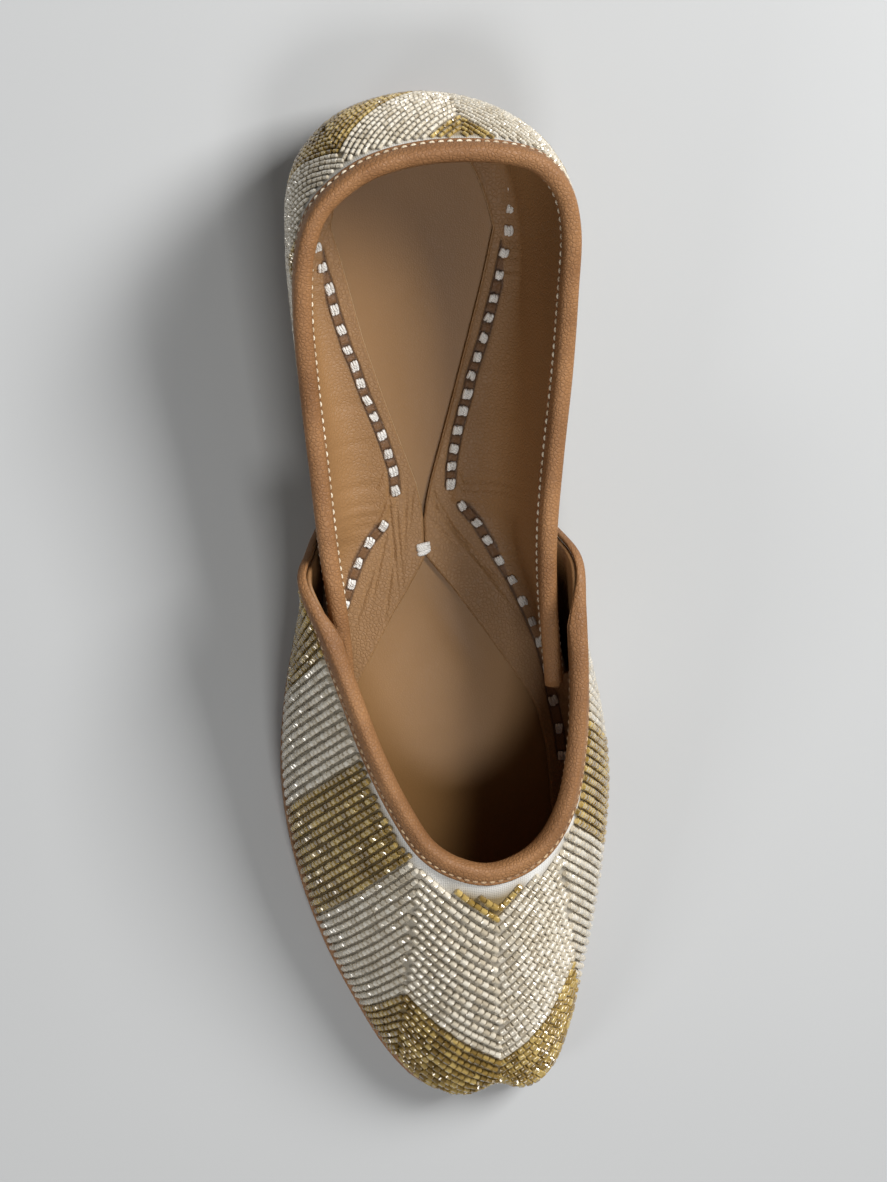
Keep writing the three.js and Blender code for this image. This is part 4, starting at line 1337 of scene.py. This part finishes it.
def buildCotton():
    spots = []
    skewMost, wander, slip, splay = (cottonSizes[key] for key in ("skew", "wander", "slip", "splay"))

    def sew(side, x, s, along, length, size):
        z = float(flapTop(side, np.array([x]), np.array([s]))[0])
        middle = place(x, s, z)
        across = np.array([-along[1], along[0], 0.0])
        for strand in (-1.0, 0.0, 1.0):
            at = middle + across * (strand * cottonSizes["spread"] * size + dice.uniform(-wander, wander))
            at = at + along * dice.uniform(-slip, slip)
            at = at + np.array([0.0, 0.0, cottonSizes["rise"] + 0.08 * (strand == 0.0)])
            turn = along + across * dice.uniform(-splay, splay)
            thick = cottonSizes["strand"] * size * dice.uniform(*cottonSizes["widths"])
            spots.append({"at": at, "tint": dice.uniform(*cottonSizes["tints"]),
                          "axes": axesOf(turn, np.array([0.0, 0.0, 1.0]), (length, thick, thick))})

    for side in sides:
        for row in ("rear", "front"):
            walk = sewingWalk(side, row)
            for share in walk.lengths / walk.total:
                x, s, _ = walk.at(share)
                ahead = walk.at(min(share + 0.02, 1.0)) - walk.at(max(share - 0.02, 0.0))
                along = np.array([ahead[0], -ahead[1], 0.0])
                along = along / np.linalg.norm(along)
                skew = np.array([-along[1], along[0], 0.0]) * dice.uniform(-skewMost, skewMost)
                along = (along + skew) / np.linalg.norm(along + skew)
                length = cottonSizes["length"] * dice.uniform(*cottonSizes["lengths"])
                sew(side, x, s, along, length, dice.uniform(*cottonSizes["sizes"]))
    along = np.array(cottonSizes["middleAlong"])
    sew("left", *cottonSizes["middle"], along, cottonSizes["middleLength"], cottonSizes["middleSize"])
    template = strandTemplate(cottonSizes["bow"])
    joinCopies("cotton_stitches", template, spots, cottonThread)
    template.free()


# Stage
stageLook = {
    "cameraPlace": (-103.0, 230.5, 685.3), "target": (-0.5, 10.0, 20.0), "up": (0.0797, 0.96, -0.2684),
    "focalPixels": 2627.0, "zoom": 1.18, "imageHeight": 1182.0, "sensor": 24.0,
    "lightAim": (0.0, 0.0, 20.0), "worldColor": (0.9, 0.92, 0.95, 1.0), "worldStrength": 0.08,
    "floorHalf": 2.5, "floorTones": [(0.3, (0.435, 0.44, 0.44)), (0.7, (0.465, 0.47, 0.47))],
    "lights": [  # name, place, size in metres, watts
        ("keySoftbox", (560.0, 505.0, 700.0), 0.42, 14.6),
        ("topSoftbox", (60.0, -320.0, 1050.0), 0.3, 3.9),
        ("fillSoftbox", (-720.0, -300.0, 560.0), 0.25, 1.6),
    ],
}


def aimed(start, target, up):
    back = (Vector(start) - Vector(target)).normalized()
    right = Vector(up).cross(back).normalized()
    turn = Matrix((right, back.cross(right), back)).transposed().to_4x4()
    return Matrix.Translation(Vector(start) * mm) @ turn


def buildStage():
    scene = bpy.context.scene
    bm = bmesh.new()
    bmesh.ops.create_grid(bm, x_segments=2, y_segments=2, size=stageLook["floorHalf"])
    mesh = bpy.data.meshes.new("floor")
    bm.to_mesh(mesh)
    bm.free()
    finish, tree, shader = newFinish("paleFloor", 0.7)
    where = objectPlaces(tree)
    cloud = addNode(tree, "ShaderNodeTexNoise", {"Vector": where, "Scale": 3.0, "Detail": 3.0})
    tone = colorRamp(tree, cloud.outputs["Fac"], stageLook["floorTones"])
    tree.links.new(tone, shader.inputs["Base Color"])
    mesh.materials.append(finish)
    floor = bpy.data.objects.new("floor", mesh)
    scene.collection.objects.link(floor)
    world = bpy.data.worlds.new("studio")
    world.use_nodes = True
    sky = world.node_tree.nodes["Background"]
    sky.inputs["Color"].default_value = stageLook["worldColor"]
    sky.inputs["Strength"].default_value = stageLook["worldStrength"]
    scene.world = world
    for name, start, size, watts in stageLook["lights"]:
        lamp = bpy.data.lights.new(name, "AREA")
        lamp.size = size
        lamp.energy = watts
        light = bpy.data.objects.new(name, lamp)
        light.matrix_world = aimed(start, stageLook["lightAim"], (0.0, 1.0, 0.2))
        scene.collection.objects.link(light)
    lens = bpy.data.cameras.new("camera")
    lens.sensor_fit = "VERTICAL"
    lens.sensor_height = stageLook["sensor"]
    lens.lens = stageLook["focalPixels"] * stageLook["zoom"] / stageLook["imageHeight"] * stageLook["sensor"]
    camera = bpy.data.objects.new("camera", lens)
    camera.matrix_world = aimed(stageLook["cameraPlace"], stageLook["target"], stageLook["up"])
    scene.collection.objects.link(camera)
    scene.camera = camera
    scene.view_settings.view_transform = "Standard"


buildStage()
buildOutsole()
buildInsole()
for side in sides:
    buildFlap(side)
buildCotton()
buildCloth("vamp", vampGrid, vampOut, vampFlat)
buildCloth("quarter", quarterGrid, quarterOut, quarterFlat)
buildLining("vamp_lining", vampGrid, vampOut, vampWall(vampGrid))
buildLining("quarter_lining", quarterGrid, quarterOut, last["wall"])
buildBinding("vamp_roll", "vamp_binding", vampGrid, vampInner, bindingSizes["vampInnerLeg"],
             lambda s: float(smoothStep(s, *bindingSizes["wingOpen"])))
buildBinding("collar_roll", "collar_binding", quarterGrid, quarterInner, bindingSizes["collarInnerLeg"],
             lambda s: 1.0)
buildBeads()
